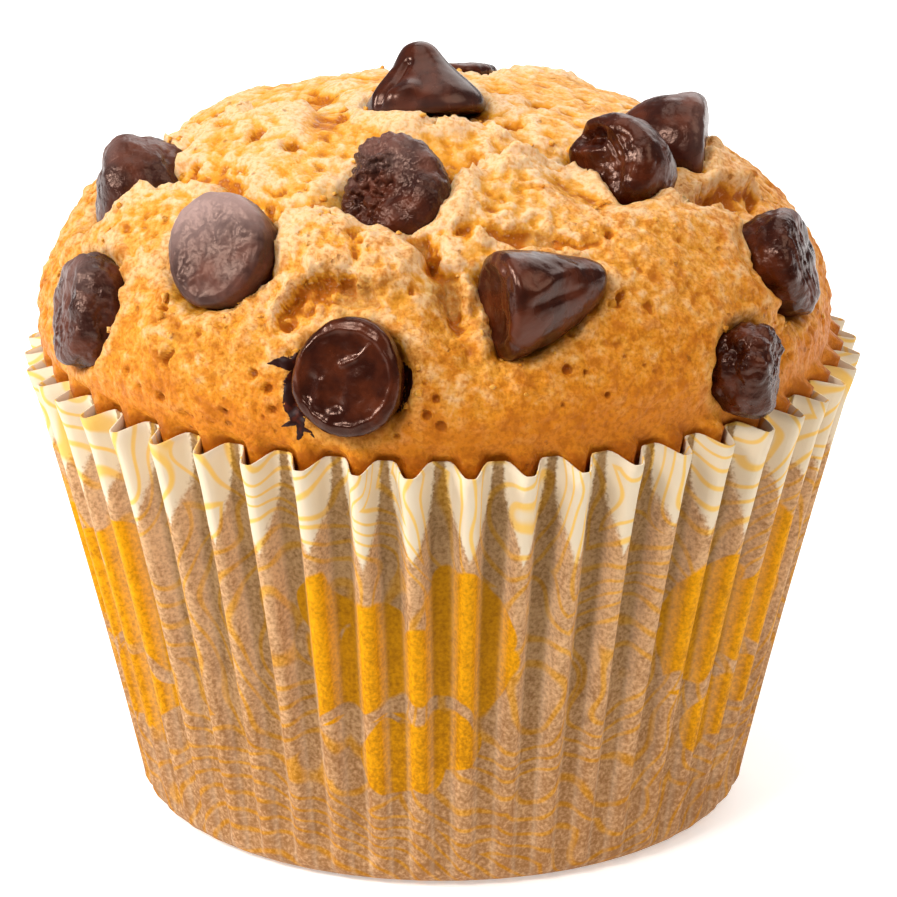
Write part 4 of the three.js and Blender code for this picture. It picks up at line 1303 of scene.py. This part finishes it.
rng = np.random.default_rng(81)
by_chip = rng.integers(0, len(CHIPS), CRUMB_COUNT)
seats = np.array([dome(*chip["seat"]) for chip in CHIPS])[by_chip]
spread = unit(rng.normal(size=(CRUMB_COUNT, 3))) * rng.uniform(*CRUMB_REACH, (CRUMB_COUNT, 1))
crumb_azimuth, crumb_fall = dome_places(seats + spread)
keep = crumb_fall < SKIRT_FALL - BARE_SKIRT
ground, *_ = crust_at(crumb_azimuth[keep], crumb_fall[keep])
small, large = CRUMB_SIZES
crumb_size = rng.uniform(0, 1, len(ground)) ** 2 * (large - small) + small
ball, ball_faces = crumb_ball()
ragged = 1 + CRUMB_RAGGED * rng.uniform(-1, 1, (len(ground), len(ball), 1))
stretch = rng.uniform(*CRUMB_STRETCH, (len(ground), 1, 3))
middles = ground + CRUMB_RISE * crumb_size[:, None] * dome_normal(ground)
crumb_points = middles[:, None, :] + ball * ragged * stretch * crumb_size[:, None, None]
offsets = np.arange(len(ground))[:, None, None] * len(ball)
crumbs = piece_from("crumbs", crumb_points.reshape(-1, 3), (ball_faces + offsets).reshape(-1, 3))
for name, value in (("hollow", 0.0), ("crease", 0.0), ("browning_and_side_light", 0.45), ("open", 0.0), ("broken", 0.3)):
    paint(crumbs, name, value)
crumbs.data.materials.append(cake.data.materials[0])


# ---------------------------------------------------------------- studio
# A white floor under five soft lights: the key from the left, one from the left in front, one from
# above, one from behind, and a warm one from the right that fills the shadows. A little even light
# comes from all round.
FLOOR_SIZE = 6000.0
FLOOR_WHITE = (0.92, 0.92, 0.92)
FLOOR_GREY = (0.22, 0.22, 0.22)
FLOOR_FADE = (-180.0, -35.0)  # from grey to white, along Y
FLOOR_GLOW = 0.4
ROOM_LIGHT = 0.2
LAMPS = {
    "key": ((-0.80, -0.16, 0.50), 0.24, 6.3, (1.0, 0.985, 0.96)),
    "front": ((-0.40, -0.60, 0.68), 0.28, 5.1, (1.0, 1.0, 1.0)),
    "top": ((0.0, 0.10, 1.00), 0.6, 2.4, (1.0, 1.0, 1.0)),
    "back": ((0.30, 0.80, 0.62), 0.9, 5.5, (1.0, 1.0, 1.0)),
    "fill": ((0.62, -0.32, 0.72), 0.6, 3.0, (1.0, 0.90, 0.80)),
}  # place and width in metres, power in watts, colour

for name, (lamp_place, width, power, colour) in LAMPS.items():
    lamp = bpy.data.lights.new(name, "AREA")
    lamp.shape = "SQUARE"
    lamp.size = width
    lamp.energy = power
    lamp.color = colour
    add_aimed(name, lamp, Vector(lamp_place))

world = bpy.data.worlds.new("studio")
world.use_nodes = True
background = world.node_tree.nodes["Background"]
background.inputs["Color"].default_value = (1, 1, 1, 1)
background.inputs["Strength"].default_value = ROOM_LIGHT
bpy.context.scene.world = world

floor_corners = np.array([[-1, -1, 0], [1, -1, 0], [1, 1, 0], [-1, 1, 0]])
floor = mesh_object("floor", FLOOR_SIZE / 2 * floor_corners, np.array([[0, 1, 2, 3]]))


def floor_finish():
    """White paper under and behind the muffin that goes grey in front, out of the light."""
    f = Finish("white_floor", Roughness=0.9)
    dark_end, white_end = FLOOR_FADE
    white = f.step(f.axis(f.place, 1), dark_end * MM, white_end * MM)
    return f.done(Base_Color=f.mix(white, FLOOR_GREY, FLOOR_WHITE), Emission_Color=(1.0, 1.0, 1.0),
                  Emission_Strength=f.step(white, 0.2, 1.0, 0.0, FLOOR_GLOW))


floor.data.materials.append(floor_finish())

bpy.context.scene.view_settings.view_transform = "Standard"
